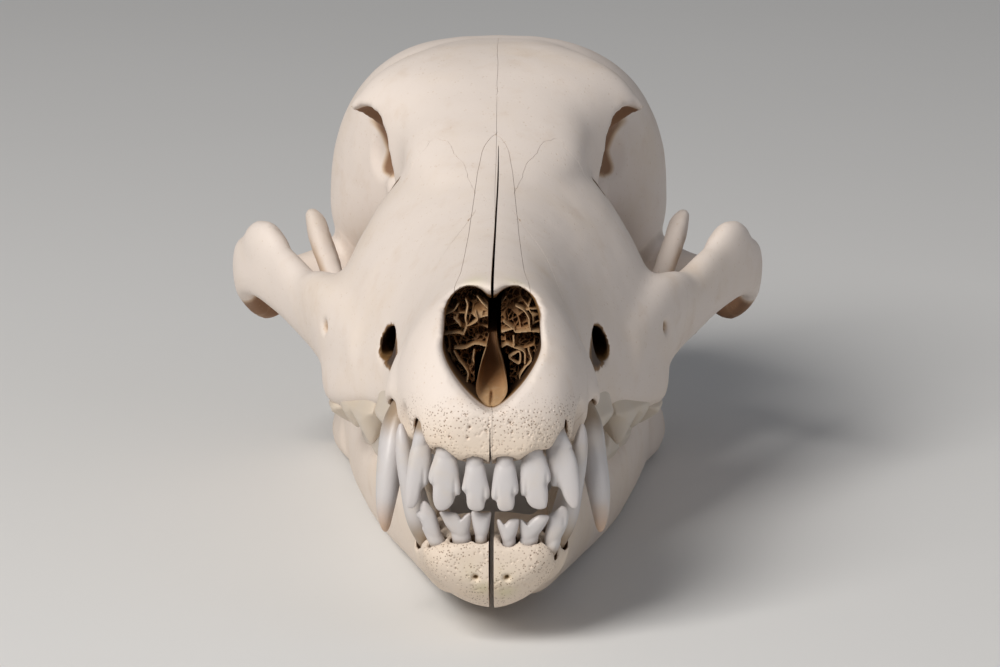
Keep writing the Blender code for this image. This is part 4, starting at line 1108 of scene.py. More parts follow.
def jawHalf():
    body = [
        (6.0, 14.0, -20.0, 3.0, 5.0, 12),
        (7.2, 20.0, -20.4, 3.5, 6.4, 12),
        (9.0, 30.0, -20.2, 3.8, 7.2, 12),
        (11.0, 43.0, -19.9, 4.1, 7.9, 12),
        (13.6, 56.0, -19.5, 4.4, 8.2, 12),
        (16.6, 70.0, -19.0, 4.4, 8.2, 11),
        (19.6, 84.0, -18.0, 4.1, 8.0, 9),
        (22.2, 97.0, -16.2, 3.4, 8.0, 5),
        (24.4, 109.0, -14.8, 2.6, 7.4, 2),
    ]
    canineRoot = [(7.6, 20.0, -22.5, 2.6, 3.0), (9.0, 15.0, -19.5, 3.0, 4.0), (10.4, 12.4, -15.5, 2.6, 3.6)]
    frontEdge = [
        (ramusSide(86, -14), 86.0, -14.0, 3.0, 3.0),
        (ramusSide(95, -1), 95.6, -1.0, 2.4, 2.6),
        (ramusSide(102, 12), 102.4, 11.6, 1.7, 2.2),
        (ramusSide(108, 20), 108.6, 19.6, 1.9, 2.2),
        (ramusSide(113, 22), 113.2, 22.4, 2.0, 2.0),
    ]
    condyle = [
        (21.4, 130.2, 0.0, 1.2, 1.2),
        (24.0, 129.8, 0.8, 2.9, 2.5),
        (29.0, 129.4, 1.2, 3.0, 2.6),
        (34.0, 128.6, 1.6, 2.7, 2.4),
        (36.6, 128.0, 1.6, 1.2, 1.2),
    ]
    neck = [(27.4, 122.5, -7.0, 2.0, 5.0), (28.4, 127.5, -3.0, 3.0, 3.6), (28.8, 129.2, 0.4, 3.2, 2.4)]
    heel = [(26.0, 120.0, -17.2, 2.4, 4.6), (27.2, 130.0, -18.2, 2.8, 3.8), (27.6, 138.4, -18.0, 2.2, 2.6)]
    jaw = sweep("jaw", body, power=2.3)
    bulk = [chin(), ramus(), sweep("canineRoot", canineRoot, up=(0, 1, 0)), sweep("condyle", condyle)]
    bulk += [sweep("frontEdge", frontEdge, up=(1, 0, 0)), sweep("neck", neck), sweep("heel", heel)]
    combine(jaw, bulk, "UNION")
    melt(jaw, meshSizes["blend"], 7)
    chewing = ball("chewing", (33.8, 110.0, -3.6), (7.4, 13.0, 11.5), (0, -8, 11))
    nerve = ball("nerve", (12.6, 22.0, -19.6), (2.2, 1.4, 1.0), (0, 0, 20))
    return combine(jaw, [chewing, nerve], "DIFFERENCE")


chinHole = dict(x=2.75, z=-21.2, radius=0.5, depth=1.3)


def lowerJaws():
    left, right = both(jawHalf())
    made = {}
    for name, obj, side, seed in (("lowerJawLeft", left, 1, 31), ("lowerJawRight", right, -1, 37)):
        combine(obj, sockets(1, lowerCaninePath), "DIFFERENCE")
        melt(obj, meshSizes["jaw"], 3)
        soften(obj, 4)
        undulate(obj, 0.14, 0.04, seed)
        refine(obj, lambda p: p[:, 1] < 15)
        refine(obj, lambda p: p[:, 1] < 9)
        pores = frontPits(obj, seed, 120, 11.0, -26.0, -15.5, (0.1, 0.2))
        spot = nearFront(obj, side * chinHole["x"], chinHole["z"])
        sinkPits(obj, [*pores, (*spot, chinHole["radius"], chinHole["depth"])])
        far = sorted((side * 0.4, -side * 40))
        combine(obj, [block("farSide", (far[0], -20, -60), (far[1], 60, 40))], "DIFFERENCE")
        made[name] = keepLargest(obj)
    return made


# The larger pores of the upper jaw and the small pit before each cheek arch: x, z and radius
largePores = [(-3.1, 3.9, 0.26), (3.2, 4.7, 0.22), (3.6, 4.3, 0.16), (-4.0, 6.0, 0.16), (-0.1, 5.0, 0.14)]
largePores += [(0.0, 4.4, 0.16), (-0.2, 3.2, 0.2), (-0.1, 2.6, 0.14), (2.9, 3.1, 0.15), (-7.0, 2.2, 0.18)]
largePores += [(-3.6, 1.2, 0.2), (6.4, 2.6, 0.16), (-29.4, 9.2, 0.9), (29.4, 9.2, 0.9)]


def upperSkull():
    whole = muzzle()
    masses = [brow(), braincase(), *crests(), *napeAndBase(), *throat(), *cheekArch()]
    masses += [*eyeProcess(), *toothBulges()]
    combine(whole, masses, "UNION")
    melt(whole, meshSizes["blend"], 9)
    hollows = [passage(), *palateHollow(), *eyeHollows(), *smallHoles(), *sockets(-1, upperCaninePath)]
    combine(whole, hollows, "DIFFERENCE")
    whole = keepLargest(melt(whole, meshSizes["bone"], 4))
    soften(whole, 6)
    undulate(whole, 0.16, 0.05, 11)
    refine(whole, lambda p: p[:, 1] < 14)
    refine(whole, lambda p: (p[:, 1] < 8) & (p[:, 2] < 7))
    pores = frontPits(whole, 5, 420, 12.5, -3.4, 6.4, (0.08, 0.17))
    for x, z, radius in largePores:
        pores.append((*nearFront(whole, x, z), radius, 2.4 * radius))
    sinkPits(whole, pores)
    print("upper skull is one body with", len(whole.data.polygons), "faces")
    cuts = [*nasalSeams(), *incisiveSeams(), *browSeams(), rearSeam(), middleSeam(), *cheekSeams()]
    combine(whole, cuts, "DIFFERENCE")
    combine(whole, [nasalGap(), lipGap()], "DIFFERENCE")
    return takeApart(whole, skullSeeds)


# Inside the nose


def reliefBody(name, front, back, shrink):
    # a closed body behind a grid of points, whose rows and columns narrow towards its flat back
    front = np.asarray(front, float)
    rows, columns = front.shape[:2]
    rear = front * (shrink, 0.0, 1.0) + (0.0, back, 0.0)
    index = np.arange(2 * rows * columns).reshape(2, rows, columns)
    faces = []
    for side in (0, 1):
        grid = index[side]
        corners = (grid[:-1, :-1], grid[:-1, 1:], grid[1:, 1:], grid[1:, :-1])
        faces += zip(*(corner.ravel() for corner in corners))
    rim = [(0, k) for k in range(columns)] + [(i, columns - 1) for i in range(1, rows)]
    rim += [(rows - 1, k) for k in range(columns - 2, -1, -1)] + [(i, 0) for i in range(rows - 2, 0, -1)]
    for (i, k), (m, n) in zip(rim, rim[1:] + rim[:1]):
        faces.append((index[0, i, k], index[0, m, n], index[1, m, n], index[1, i, k]))
    faces = [tuple(int(corner) for corner in face) for face in faces]
    return makeObject(name, np.vstack([front.reshape(-1, 3), rear.reshape(-1, 3)]), faces)


def curveGap(x, z, curves):
    # the distance of each grid point from the nearest curve
    best = np.full(x.shape, 99.0)
    for curve in curves:
        line = spline(curve, 8)
        for a, b in zip(line, line[1:]):
            step = b - a
            share = np.clip(((x - a[0]) * step[0] + (z - a[1]) * step[1]) / max(step @ step, 1e-9), 0, 1)
            best = np.minimum(best, np.hypot(x - a[0] - share * step[0], z - a[1] - share * step[1]))
    return best


def cellGap(x, z, pitch, seed):
    # the distance from the border between the two nearest of many seeded spots
    draw = np.random.RandomState(seed)
    spots = []
    for i in range(int(18 / pitch)):
        for k in range(int(20 / pitch)):
            spots.append((-9 + (i + draw.uniform(0, 1)) * pitch, 5 + (k + draw.uniform(0, 1)) * pitch))
    gaps = np.sort(np.stack([np.hypot(x - a, z - b) for a, b in spots]), axis=0)
    return (gaps[1] - gaps[0]) / 2


# The nose scrolls: their bright walls as curves of (x, z) points, where each block starts beside the middle,
# and the seed of its fine network
scrolls = dict(
    right=dict(
        walls=[
            [(-8.2, 15.4), (-7.0, 15.7), (-5.4, 15.8), (-4.45, 15.5)],
            [(-4.2, 20.8), (-3.9, 19.8), (-4.2, 18.1), (-4.0, 16.9), (-4.45, 15.7)],
            [(-2.35, 21.2), (-1.5, 20.2), (-0.7, 19.5)],
            [(-2.6, 18.9), (-2.35, 17.8), (-3.3, 17.1), (-4.0, 16.9)],
            [(-6.0, 18.1), (-5.3, 17.4), (-5.0, 16.9)],
            [(-5.9, 13.5), (-4.2, 13.5), (-2.6, 14.1), (-0.8, 13.8)],
            [(-6.0, 13.1), (-5.2, 11.8), (-4.3, 10.7), (-3.75, 9.7), (-4.0, 8.1)],
            [(-2.8, 13.1), (-2.9, 11.55), (-1.8, 11.55)],
            [(-7.6, 18.6), (-6.1, 19.2), (-5.4, 20.1)],
        ],
        inner=-0.7,
        seed=3,
    ),
    left=dict(
        walls=[
            [(1.6, 15.95), (3.3, 16.4), (3.8, 15.95), (6.1, 16.1), (8.4, 15.8)],
            [(3.8, 19.8), (5.0, 19.2), (5.8, 18.1), (5.9, 17.1), (6.1, 16.1)],
            [(3.4, 15.2), (3.4, 13.8), (2.4, 14.1), (1.6, 13.7)],
            [(3.4, 13.7), (4.7, 13.25), (5.2, 12.7), (5.2, 11.3)],
            [(2.7, 12.1), (3.55, 12.7), (4.4, 13.0), (4.3, 11.3), (2.7, 12.1)],
            [(5.8, 13.25), (6.2, 11.8), (5.2, 10.7), (4.4, 9.3), (4.8, 8.1)],
            [(1.0, 19.8), (2.15, 21.2)],
            [(1.9, 17.4), (3.3, 16.4)],
        ],
        inner=1.4,
        seed=7,
    ),
)
# The outer edge of both blocks as (height, distance from the middle), then how deep and thick the walls are
scrollOuter = [(8.0, 3.2), (10.0, 5.2), (12.0, 6.6), (14.0, 7.3), (16.0, 7.5), (18.0, 7.3), (20.0, 6.6)]
scrollOuter += [(22.6, 4.4)]
scrollDepth = dict(front=12.0, slope=0.5, main=4.6, minor=2.6, small=1.4, uneven=0.8, thick=0.17, back=56.0)
# Where the blocks end below and above, how far from the middle they lie there, and their reach into the wall
scrollBlock = dict(low=8.0, high=22.5, away=2.8, into=0.35)
# The fine network: how far it bends over what length, and each net's pitch and its walls' edges
scrollNet = dict(bend=0.5, bendSize=2.2, unevenSize=3.0, minor=(1.9, 0.07, 0.26), small=(0.95, 0.04, 0.2))


def scrollFront(z):
    return scrollDepth["front"] + scrollDepth["slope"] * (z - 6.0)


def netWalls(x, z, seed, net):
    pitch, thin, thick = scrollNet[net]
    return 1 - rise(cellGap(x, z, pitch, seed), thin, thick)


def noseScrolls():
    made = {}
    outer = np.array(scrollOuter)
    low, high, away = scrollBlock["low"], scrollBlock["high"], scrollBlock["away"]
    deep, uneven = scrollDepth["main"], scrollDepth["uneven"]
    rows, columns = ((150, 76))
    for name, hand, side in (("noseScrollsRight", "right", -1), ("noseScrollsLeft", "left", 1)):
        form = scrolls[hand]
        inner, seed = form["inner"], form["seed"]
        z = np.linspace(low, high, rows)[:, None] + np.zeros((1, columns))
        share = np.linspace(0, 1, columns)[None, :]
        edge = (away, away, abs(inner), abs(inner), away)
        near = np.interp(z[:, 0], (low, 12.0, 13.4, 20.0, high), edge)[:, None]
        far = np.interp(z[:, 0], outer[:, 0], outer[:, 1])[:, None] + scrollBlock["into"]
        x = side * (near + (far - near) * share)
        spots = np.column_stack([x.ravel(), np.zeros(x.size), z.ravel()])
        bendX = scrollNet["bend"] * softNoise(spots, scrollNet["bendSize"], seed).reshape(x.shape)
        bendZ = scrollNet["bend"] * softNoise(spots, scrollNet["bendSize"], seed + 1).reshape(x.shape)
        waves = softNoise(spots, scrollNet["unevenSize"], seed + 2).reshape(x.shape)
        main = 1 - rise(curveGap(x, z, form["walls"]), scrollDepth["thick"] * 0.5, scrollDepth["thick"] * 1.9)
        minor = netWalls(x + bendX, z + bendZ, seed + 3, "minor")
        small = netWalls(x + bendZ, z + bendX, seed + 4, "small")
        sunk = np.minimum(deep * (1 - main), deep - (deep - scrollDepth["minor"] - waves) * minor)
        sunk = np.minimum(sunk, deep - (scrollDepth["small"] + uneven * waves) * small)
        front = np.stack([x, scrollFront(z) + sunk + uneven * waves, z], axis=2)
        made[name] = reliefBody(name, front, scrollDepth["back"], 0.9)
    return made


# The keel on the floor of the passage, like a vase: height, half width and how deep it is hollow
keelRows = [(5.9, 0.8, 0.4), (6.7, 1.6, 1.0), (7.4, 2.15, 2.6), (8.3, 2.45, 4.2), (9.6, 2.35, 6.0)]
keelRows += [(11.3, 1.9, 8.0), (12.6, 1.5, 9.0), (14.0, 1.0, 9.4), (15.4, 0.7, 9.6)]
keelForm = dict(front=5.0, slope=0.72, middle=0.05)
keelSlit = dict(depth=2.4, width=0.22, height=6.9, reach=0.7)


def keelFront(z):
    return keelForm["front"] + keelForm["slope"] * (z - 6.0)


def noseKeel():
    fine = spline(keelRows, 10)
    share = np.linspace(-1, 1, 61)[None, :]
    z, half, deep = (fine[:, k][:, None] for k in range(3))
    x = keelForm["middle"] + half * np.sign(share) * np.abs(share) ** 0.8
    up = (z - keelSlit["height"]) / keelSlit["reach"]
    slit = keelSlit["depth"] * np.exp(-((x / keelSlit["width"]) ** 2) - up**2)
    height = z + np.zeros_like(x)
    front = np.stack([x, keelFront(height) + deep * (1 - np.abs(share) ** 6) + slit, height], axis=2)
    return reliefBody("noseKeel", front, scrollDepth["back"], 0.6)


# Finishes


class Wire:
    # wraps a socket, so that sums on it become nodes
    def __init__(self, tree, socket=None):
        self.tree, self.socket = tree, socket

    def node(self, kind, settings, sockets, output=0):
        # any other node: its type, its settings, and the values or wires of its sockets
        made = self.tree.nodes.new(kind)
        for key, value in settings.items():
            setattr(made, key, value)
        for key, value in sockets.items():
            if isinstance(value, Wire):
                self.tree.links.new(value.socket, made.inputs[key])
            else:
                made.inputs[key].default_value = value
        return Wire(self.tree, made.outputs[output])

    def maths(self, operation, a, b):
        return self.node("ShaderNodeMath", dict(operation=operation), {0: a, 1: b})

    def __add__(self, other):
        return self.maths("ADD", self, other)

    __radd__ = __add__

    def __sub__(self, other):
        return self.maths("SUBTRACT", self, other)

    def __rsub__(self, other):
        return self.maths("SUBTRACT", other, self)

    def __mul__(self, other):
        return self.maths("MULTIPLY", self, other)

    __rmul__ = __mul__

    def above(self, low, high):
        # 0 up to low and 1 from high on, smooth between
        settings = dict(interpolation_type="SMOOTHSTEP")
        return self.node("ShaderNodeMapRange", settings, {"Value": self, "From Min": low, "From Max": high})


def mixColor(factor, a, b):
    colors = {}
    for key, value in ((6, a), (7, b)):
        colors[key] = value if isinstance(value, Wire) else (*value, 1.0)
    return factor.node("ShaderNodeMix", dict(data_type="RGBA"), {0: factor, **colors}, 2)


def newFinish(name):
    material = bpy.data.materials.new(name)
    material.use_nodes = True
    tree = material.node_tree
    return material, Wire(tree), tree.nodes["Principled BSDF"]


def feed(shader, name, wire):
    wire.tree.links.new(wire.socket, shader.inputs[name])


def maskOf(wire, name):
    return wire.node("ShaderNodeAttribute", dict(attribute_name=name), {}, 2)


def noise(wire, scale, detail=4.0, rough=0.55):
    spot = wire.node("ShaderNodeTexCoord", {}, {}, 3)
    sockets = {"Vector": spot, "Scale": scale, "Detail": detail, "Roughness": rough}
    return wire.node("ShaderNodeTexNoise", {}, sockets)


def cells(wire, scale):
    spot = wire.node("ShaderNodeTexCoord", {}, {}, 3)
    return wire.node("ShaderNodeTexVoronoi", {}, {"Vector": spot, "Scale": scale})


# Colours are linear, as the shader takes them
boneLook = dict(
    pale=(0.78, 0.69, 0.625),
    cream=(0.74, 0.61, 0.475),
    warm=(0.56, 0.40, 0.26),
    # recess: the dark brown of painted shade in closed hollows
    recess=(0.27, 0.15, 0.085),
    brown=(0.17, 0.085, 0.035),
    amber=(0.22, 0.115, 0.04),
    dark=(0.045, 0.02, 0.007),
    moss=(0.60, 0.58, 0.30),
    roughness=0.66,
)


def boneFinish():
    look = boneLook
    material, wire, shader = newFinish("dryBone")
    hollow, shelter = maskOf(wire, "hollow"), maskOf(wire, "shelter")
    inside, creamy = maskOf(wire, "inside"), maskOf(wire, "creamy")
    porous, stained = maskOf(wire, "porous"), maskOf(wire, "stained")
    cloud = noise(wire, 60.0, 5.0, 0.6)
    speck = noise(wire, 900.0, 3.0, 0.6)
    patch = noise(wire, 170.0, 4.0, 0.6)
    color = mixColor(creamy * 0.8 + cloud.above(0.45, 0.75) * 0.35, look["pale"], look["cream"])
    color = mixColor(patch.above(0.52, 0.8) * 0.22, color, look["warm"])
    # painted shade: warmer, then dark brown, where bone closes round the surface and in the recesses under
    # the eye process and cheek arch
    color = mixColor(shelter.above(0.16, 0.42) * (0.6 + 0.5 * cloud), color, look["warm"])
    color = mixColor(shelter.above(0.32, 0.62), color, look["recess"])
    # darker brown in grooves and creases: partly painted shade, partly grime in them
    color = mixColor(hollow.above(0.25, 1.0) * 0.6, color, look["brown"])
    pore = (1 - cells(wire, 1300.0).above(0.12, 0.3)) * speck.above(0.48, 0.62)
    color = mixColor(pore * 0.3, color, look["warm"])
    fine = (1 - cells(wire, 2100.0).above(0.16, 0.34)) * porous * patch.above(0.3, 0.6)
    color = mixColor(fine * 0.75, color, look["brown"])
    color = mixColor(stained * cloud.above(0.35, 0.6) * 0.5, color, look["moss"])
    # inside the nose and the holes: partly the walls' own brown, partly painted shade that deepens to near
    # black further in
    color = mixColor(inside.above(0.02, 0.35), color, look["amber"])
    color = mixColor(inside.above(0.3, 1.0), color, look["dark"])
    feed(shader, "Base Color", color)
    feed(shader, "Roughness", look["roughness"] - 0.12 * cloud)
    height = speck * 0.4 + noise(wire, 260.0, 3.0) * 0.8 - pore * 0.9 - fine * 1.2
    bump = wire.node("ShaderNodeBump", {}, {"Strength": 0.35, "Distance": 0.00012, "Height": height})
    feed(shader, "Normal", bump)
    shader.inputs["Specular IOR Level"].default_value = 0.35
    return material


enamelLook = dict(
    white=(0.60, 0.57, 0.565),
    ivory=(0.64, 0.54, 0.42),
    root=(0.34, 0.25, 0.17),
    tip=(0.55, 0.33, 0.18),
    groove=(0.26, 0.17, 0.10),
    roughness=0.34,
)


def enamelFinish():
    look = enamelLook
    material, wire, shader = newFinish("enamel")
    crown, warm, hollow = maskOf(wire, "crown"), maskOf(wire, "warmTip"), maskOf(wire, "hollow")
    aged = maskOf(wire, "aged")
    cloud = noise(wire, 180.0, 4.0)
    streak = noise(wire, 700.0, 3.0)
    color = mixColor(crown, look["root"], look["white"])
    color = mixColor(cloud.above(0.45, 0.75) * 0.35, color, look["ivory"])
    color = mixColor(aged * (0.6 + 0.4 * cloud), color, look["ivory"])
    color = mixColor(warm * (0.55 + 0.5 * cloud), color, look["tip"])
    # darker brown in the grooves and creases of the teeth: partly painted shade, partly grime
    color = mixColor(hollow.above(0.3, 1.0) * 0.6, color, look["groove"])
    feed(shader, "Base Color", color)
    feed(shader, "Roughness", look["roughness"] + 0.2 * cloud)
    bump = wire.node("ShaderNodeBump", {}, {"Strength": 0.15, "Distance": 0.0001, "Height": streak})
    feed(shader, "Normal", bump)
    shader.inputs["Coat Weight"].default_value = 0.15
    shader.inputs["Coat Roughness"].default_value = 0.25
    return material


scrollLook = dict(
    edge=(0.42, 0.26, 0.13),
    brown=(0.25, 0.12, 0.042),
    dark=(0.19, 0.085, 0.028),
    fleck=(0.5, 0.36, 0.23),
)


def scrollFinish():
    look = scrollLook
    material, wire, shader = newFinish("noseScroll")
    inside = maskOf(wire, "inside")
    cloud = noise(wire, 350.0, 4.0)
    color = mixColor(noise(wire, 900.0).above(0.5, 0.7) * 0.5, look["edge"], look["fleck"])
    # darker the further behind the front: partly the scrolls' own brown, partly painted shade in their depths
    color = mixColor(inside.above(0.05, 0.5) * (0.7 + 0.3 * cloud), color, look["brown"])
    color = mixColor(inside.above(0.45, 1.0), color, look["dark"])
    feed(shader, "Base Color", color)
    shader.inputs["Roughness"].default_value = 0.7
    bump = wire.node("ShaderNodeBump", {}, {"Strength": 0.3, "Distance": 0.0002, "Height": cloud})
    feed(shader, "Normal", bump)
    return material


def floorFinish():
    material, wire, shader = newFinish("paleFloor")
    cloud = noise(wire, 6.0)
    feed(shader, "Base Color", mixColor(cloud, (0.74, 0.735, 0.725), (0.77, 0.765, 0.755)))
    shader.inputs["Roughness"].default_value = 0.9
    shader.inputs["Specular IOR Level"].default_value = 0.1
    return material


# Masks that the finishes read


def nearPath(points, normals, path, spread):
    # 1 on a hole's axis, 0 from its wall outwards, on the faces that look at the axis
    best = np.zeros(len(points))
    for x, y, z, half, height in spline([row[:5] for row in path], 6):
        inward = (x, y, z) - points
        gap = np.linalg.norm(inward, axis=1)
        facing = (inward * normals).sum(1) / np.maximum(gap, 1e-6)
        best = np.maximum(best, (1 - gap / (max(half, height) * spread)) * (facing > 0.2))
    return best


def insideMask(points, normals):
    # grows along the nasal passage from its rim, and in the other holes; its far end paints shade deep inside
    # them
    x, y, z = points.T
    rows = np.array(passageRows)
    half, wide, top, low = (np.interp(y, rows[:, 0], rows[:, k]) for k in range(1, 5))
    v = np.where(z > wide, (z - wide) / (top + passageLobe["above"] - wide), (wide - z) / (wide - low))
    within = rise(-np.hypot(np.abs(x) / half, v), -1.25, -1.08)
    facing = (-x * normals[:, 0] + (wide - z) * normals[:, 2]) / np.maximum(np.hypot(x, wide - z), 1e-6)
    rim = np.interp(z, (6.0, 10.5, 17.0, 21.5, 24.2), (1.0, 3.5, 8.0, 12.5, 18.0)) + 1.2
    mask = within * rise(facing, 0.0, 0.4) * rise(y - rim, 0.2, 7.0) * rise(-y, -86.0, -84.0)
    spine = nearPath(points, normals, holes["spine"], 1.5) * rise(-y, -167.0, -158.0)
    mask = np.maximum(mask, rise(spine, 0.1, 0.5))
    for name in ("cheek", "ear", "tear"):
        for side in (1, -1):
            path = [(side * row[0], *row[1:]) for row in holes[name]]
            mask = np.maximum(mask, rise(nearPath(points, normals, path, 1.3), 0.1, 0.5))
    return mask


# How hidden hollows are found for the painted shade: the size of the cells, the reach of the looks, and how
# many looks
hiding = dict(voxel=1.2, cell=1.2, reach=16.0, looks=40, rounds=4)


def hidingTree(bodies):
    # a coarse copy of all bones, to look through for what lies near
    points, faces = [], []
    for body in bodies:
        copy = melt(copyOf(body), hiding["voxel"])
        start = len(points)
        points += pointsOf(copy).tolist()
        faces += [[start + corner for corner in face.vertices] for face in copy.data.polygons]
        bpy.data.objects.remove(copy)
    return BVHTree.FromPolygons(points, faces)


def shelterOf(obj, tree):
    # 0 where the surface lies open, 1 where bone is close by in every direction; the finish paints shade by
    # it
    points, normals = pointsOf(obj), normalsOf(obj)
    keys = np.column_stack([np.floor(points / hiding["cell"]), np.sign(normals) > 0]).astype(int)
    _, index, count = np.unique(keys, axis=0, return_inverse=True, return_counts=True)
    index = index.ravel()
    spots = np.column_stack([np.bincount(index, points[:, k]) for k in range(3)]) / count[:, None]
    heads = np.column_stack([np.bincount(index, normals[:, k]) for k in range(3)])
    heads /= np.maximum(np.linalg.norm(heads, axis=1), 1e-9)[:, None]
    turn = np.arange(hiding["looks"]) + 0.5
    height = 1 - 2 * turn / hiding["looks"]
    angle = turn * math.pi * (1 + math.sqrt(5))
    flat = np.sqrt(1 - height**2)
    looks = np.column_stack([flat * np.cos(angle), flat * np.sin(angle), height])
    cosines = heads @ looks.T
    found = np.zeros(len(spots))
    for i, (spot, head) in enumerate(zip(spots, heads)):
        start = Vector(spot + 0.9 * head)
        total = near = 0.0
        for k in np.flatnonzero(cosines[i] > 0.2):
            gap = tree.ray_cast(start, Vector(looks[k]), hiding["reach"])[3]
            total += cosines[i, k]
            if gap is not None:
                near += cosines[i, k] * (1 - gap / hiding["reach"])
        found[i] = near / max(total, 1e-9)
    values, edges = found[index][:, None], edgesOf(obj)
    for _ in range(hiding["rounds"]):
        values = 0.4 * values + 0.6 * average(values, edges)
    return values[:, 0]


# Yellowish and bluish stains: centre and size
stains = [((-3.3, 3.0, -19.0), 1.8), ((1.9, 3.0, -19.2), 2.2), ((-1.4, 3.0, -21.8), 1.4)]
stains += [((2.2, 3.5, -23.1), 1.6), ((-3.4, 18.0, 25.5), 2.2), ((4.2, 18.0, 25.5), 2.0)]
# How strong the painted brown shade is in the recess under the process over the eye and under the cheek arch,
# and how far it spreads there
recessShade = dict(eye=0.7, eyeSpread=3.2, arch=0.66, archSpread=5.2)


def boneMasks(obj, tree):
    points, normals = pointsOf(obj), normalsOf(obj)
    x, y, z = points.T
    addMask(obj, "hollow", hollowness(obj, 10, 0.22))
    # painted shade: how closely bone surrounds each point, with brown added behind the eye's rim and under
    # the cheek arch
    shelter = shelterOf(obj, tree)
    # painted shade in brown: the recess behind the rim under the eye process, and the underside of the rear
    # cheek arch
    behind = rise(y, 104.5, 106.5) * rise(-y, -124.0, -115.0) * rise(-normals[:, 2], -0.75, -0.45)
    gap = curveGap(np.abs(x), z + 0.14 * (y - 113), [eyeShadeRim])
    shelter = np.maximum(shelter, recessShade["eye"] * behind * rise(-gap, -recessShade["eyeSpread"], -0.9))
    for spot in archShadeSpots:
        gap = np.linalg.norm(np.column_stack([np.abs(x), y, z]) - spot, axis=1)
        near = np.exp(-((gap / recessShade["archSpread"]) ** 4)) * rise(-normals[:, 2], -0.3, 0.3)
        shelter = np.maximum(shelter, recessShade["arch"] * near)
    addMask(obj, "shelter", shelter)
    addMask(obj, "inside", insideMask(points, normals))
    low = rise(-z, -9.0, 2.0) * rise(-y, -60.0, -10.0) * (1 - 0.55 * rise(-z, 11.0, 15.0))
    addMask(obj, "creamy", np.clip(low + rise(-z, 4.0, 20.0) * 0.35, 0, 1))
    addMask(obj, "porous", rise(-y, -16.0, -6.0) * np.maximum(rise(-z, -9.0, -5.0), rise(-z, 13.0, 15.0)))
    stained = np.zeros(len(points))
    for centre, size in stains:
        stained = np.maximum(stained, np.exp(-((points - centre) ** 2).sum(1) / size**2))
    addMask(obj, "stained", stained)


def toothMasks(obj, upper, canine, neck):
    z = pointsOf(obj)[:, 2]
    past = neck - z if upper else z - neck
    cheek = not canine and "Incisor" not in obj.name
    below, above = (-2.6, 2.2) if canine else (-0.8, 1.0)
    addMask(obj, "crown", np.ones(len(z)) if cheek else rise(past, below, above))
    addMask(obj, "aged", np.full(len(z), 1.0 if cheek else 0.0))
    tip = rise(past / past.max(), 0.6, 0.98)
    addMask(obj, "warmTip", tip * (0.9 if canine and upper else 0.08))
    addMask(obj, "hollow", hollowness(obj, 8, 0.1))


def scrollMasks(obj, front, depth):
    # the further a point lies behind the front, the darker it is painted: partly its own brown, partly
    # painted shade
    points = pointsOf(obj)
    addMask(obj, "inside", rise(points[:, 1] - front(points[:, 2]), 0.2, depth))


# Putting it together

finishes = dict(bone=boneFinish(), enamel=enamelFinish(), scroll=scrollFinish(), floor=floorFinish())
placed = []


def finishPiece(obj, name, node, finish, sharp=38):
    # gives a piece its finish, sets it down in the frame and lets it stand for its solid
    obj.name = obj.data.name = name
    obj.data.materials.clear()
    obj.data.materials.append(finishes[finish])
    obj.data.transform(place)
    obj.data.shade_smooth()
    obj.data.set_sharp_from_angle(angle=math.radians(sharp))
    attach(obj, "root")
    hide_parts(node)
    placed.append(obj)


def handOf(name):
    return "left" if "Left" in name else "right"


bones = upperSkull()
jaws = lowerJaws()
tree = hidingTree([*bones.values(), *jaws.values()])
print("bones made")
for name, obj in bones.items():
    boneMasks(obj, tree)
    finishPiece(obj, name, skullNodes[name], "bone")
for name, obj in jaws.items():
    boneMasks(obj, tree)
    finishPiece(obj, name, "mandible_" + handOf(name), "bone")
print("upper skull and lower jaw in", len(placed), "bones")

for name, (node, obj, neck) in allTeeth().items():
    toothMasks(obj, name.startswith("upper"), "Canine" in name, neck)
    finishPiece(obj, name, f"{node}_{handOf(name)}", "enamel", 60)
print("teeth done")

for name, obj in noseScrolls().items():
    scrollMasks(obj, scrollFront, scrollDepth["main"])
    finishPiece(obj, name, "turbinate_" + handOf(name), "scroll")
keel = noseKeel()
scrollMasks(keel, keelFront, 11.0)
finishPiece(keel, "noseKeel", "vomer", "scroll")
print("nose scrolls and keel done")


# Floor, light and camera

studio = dict(
    middle=(0.0, -0.02, 0.04),
    floorSize=8.0,
    world=(0.82, 0.84, 0.88),
    worldStrength=0.19,
    keyPower=16.5,
    keySize=0.65,
    fillPower=1.8,
    fillSize=1.2,
)


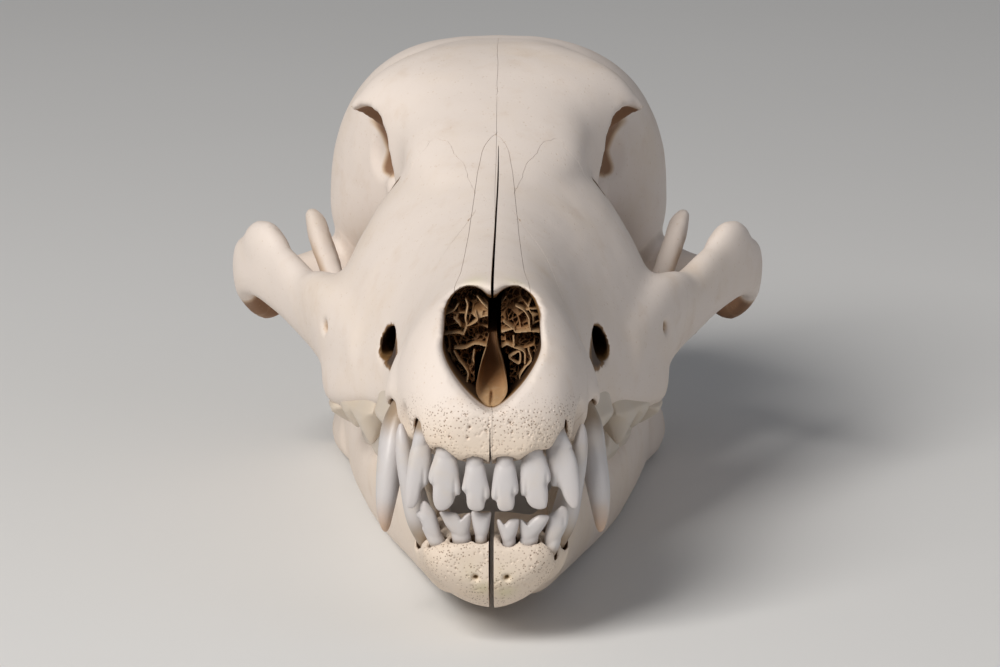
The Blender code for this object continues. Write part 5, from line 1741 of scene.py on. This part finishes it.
def floorPlane():
    half = studio["floorSize"] / 2
    corners = [(-half, -half, 0.0), (half, -half, 0.0), (half, half, 0.0), (-half, half, 0.0)]
    mesh = bpy.data.meshes.new("floorPlane")
    mesh.from_pydata(corners, [], [(0, 1, 2, 3)])
    obj = linked(bpy.data.objects.new("floorPlane", mesh))
    obj.data.materials.append(finishes["floor"])


def softLight(name, spot, power, size, color):
    lamp = bpy.data.lights.new(name, "AREA")
    lamp.energy, lamp.size, lamp.color = power, size, color
    obj = linked(bpy.data.objects.new(name, lamp))
    obj.location = spot
    obj.rotation_euler = (Vector(studio["middle"]) - Vector(spot)).to_track_quat("-Z", "Y").to_euler()


def studioLight():
    softLight("keyLight", (-0.62, -0.8, 0.92), studio["keyPower"], studio["keySize"], (1.0, 0.97, 0.93))
    softLight("fillLight", (1.1, -0.6, 0.6), studio["fillPower"], studio["fillSize"], (0.86, 0.9, 1.0))
    world = bpy.data.worlds.new("studioWorld")
    world.use_nodes = True
    shade = world.node_tree.nodes["Background"]
    shade.inputs["Color"].default_value = (*studio["world"], 1.0)
    shade.inputs["Strength"].default_value = studio["worldStrength"]
    bpy.context.scene.world = world


def photoCamera():
    lift = math.radians(cameraPlace["rise"])
    target = Vector(cameraPlace["target"])
    spot = target + cameraPlace["distance"] * Vector((0, -math.cos(lift), math.sin(lift)))
    turned = place @ Matrix.Rotation(math.radians(-cameraPlace["turn"]), 4, "Z")
    spot, target = turned @ spot, turned @ target
    up = (turned.to_3x3() @ Vector((0, 0, 1))).normalized()
    ahead = (target - spot).normalized()
    side = ahead.cross(up).normalized()
    up = side.cross(ahead)
    data = bpy.data.cameras.new("photoCamera")
    data.sensor_width, data.lens, data.clip_start = cameraPlace["sensor"], cameraPlace["lens"], 0.01
    obj = linked(bpy.data.objects.new("photoCamera", data))
    obj.matrix_world = Matrix.Translation(spot) @ Matrix((side, up, -ahead)).transposed().to_4x4()
    bpy.context.scene.camera = obj


floorPlane()
studioLight()
photoCamera()
bpy.context.scene.view_settings.view_transform = "Standard"

print("faces in all", sum(len(obj.data.polygons) for obj in placed))
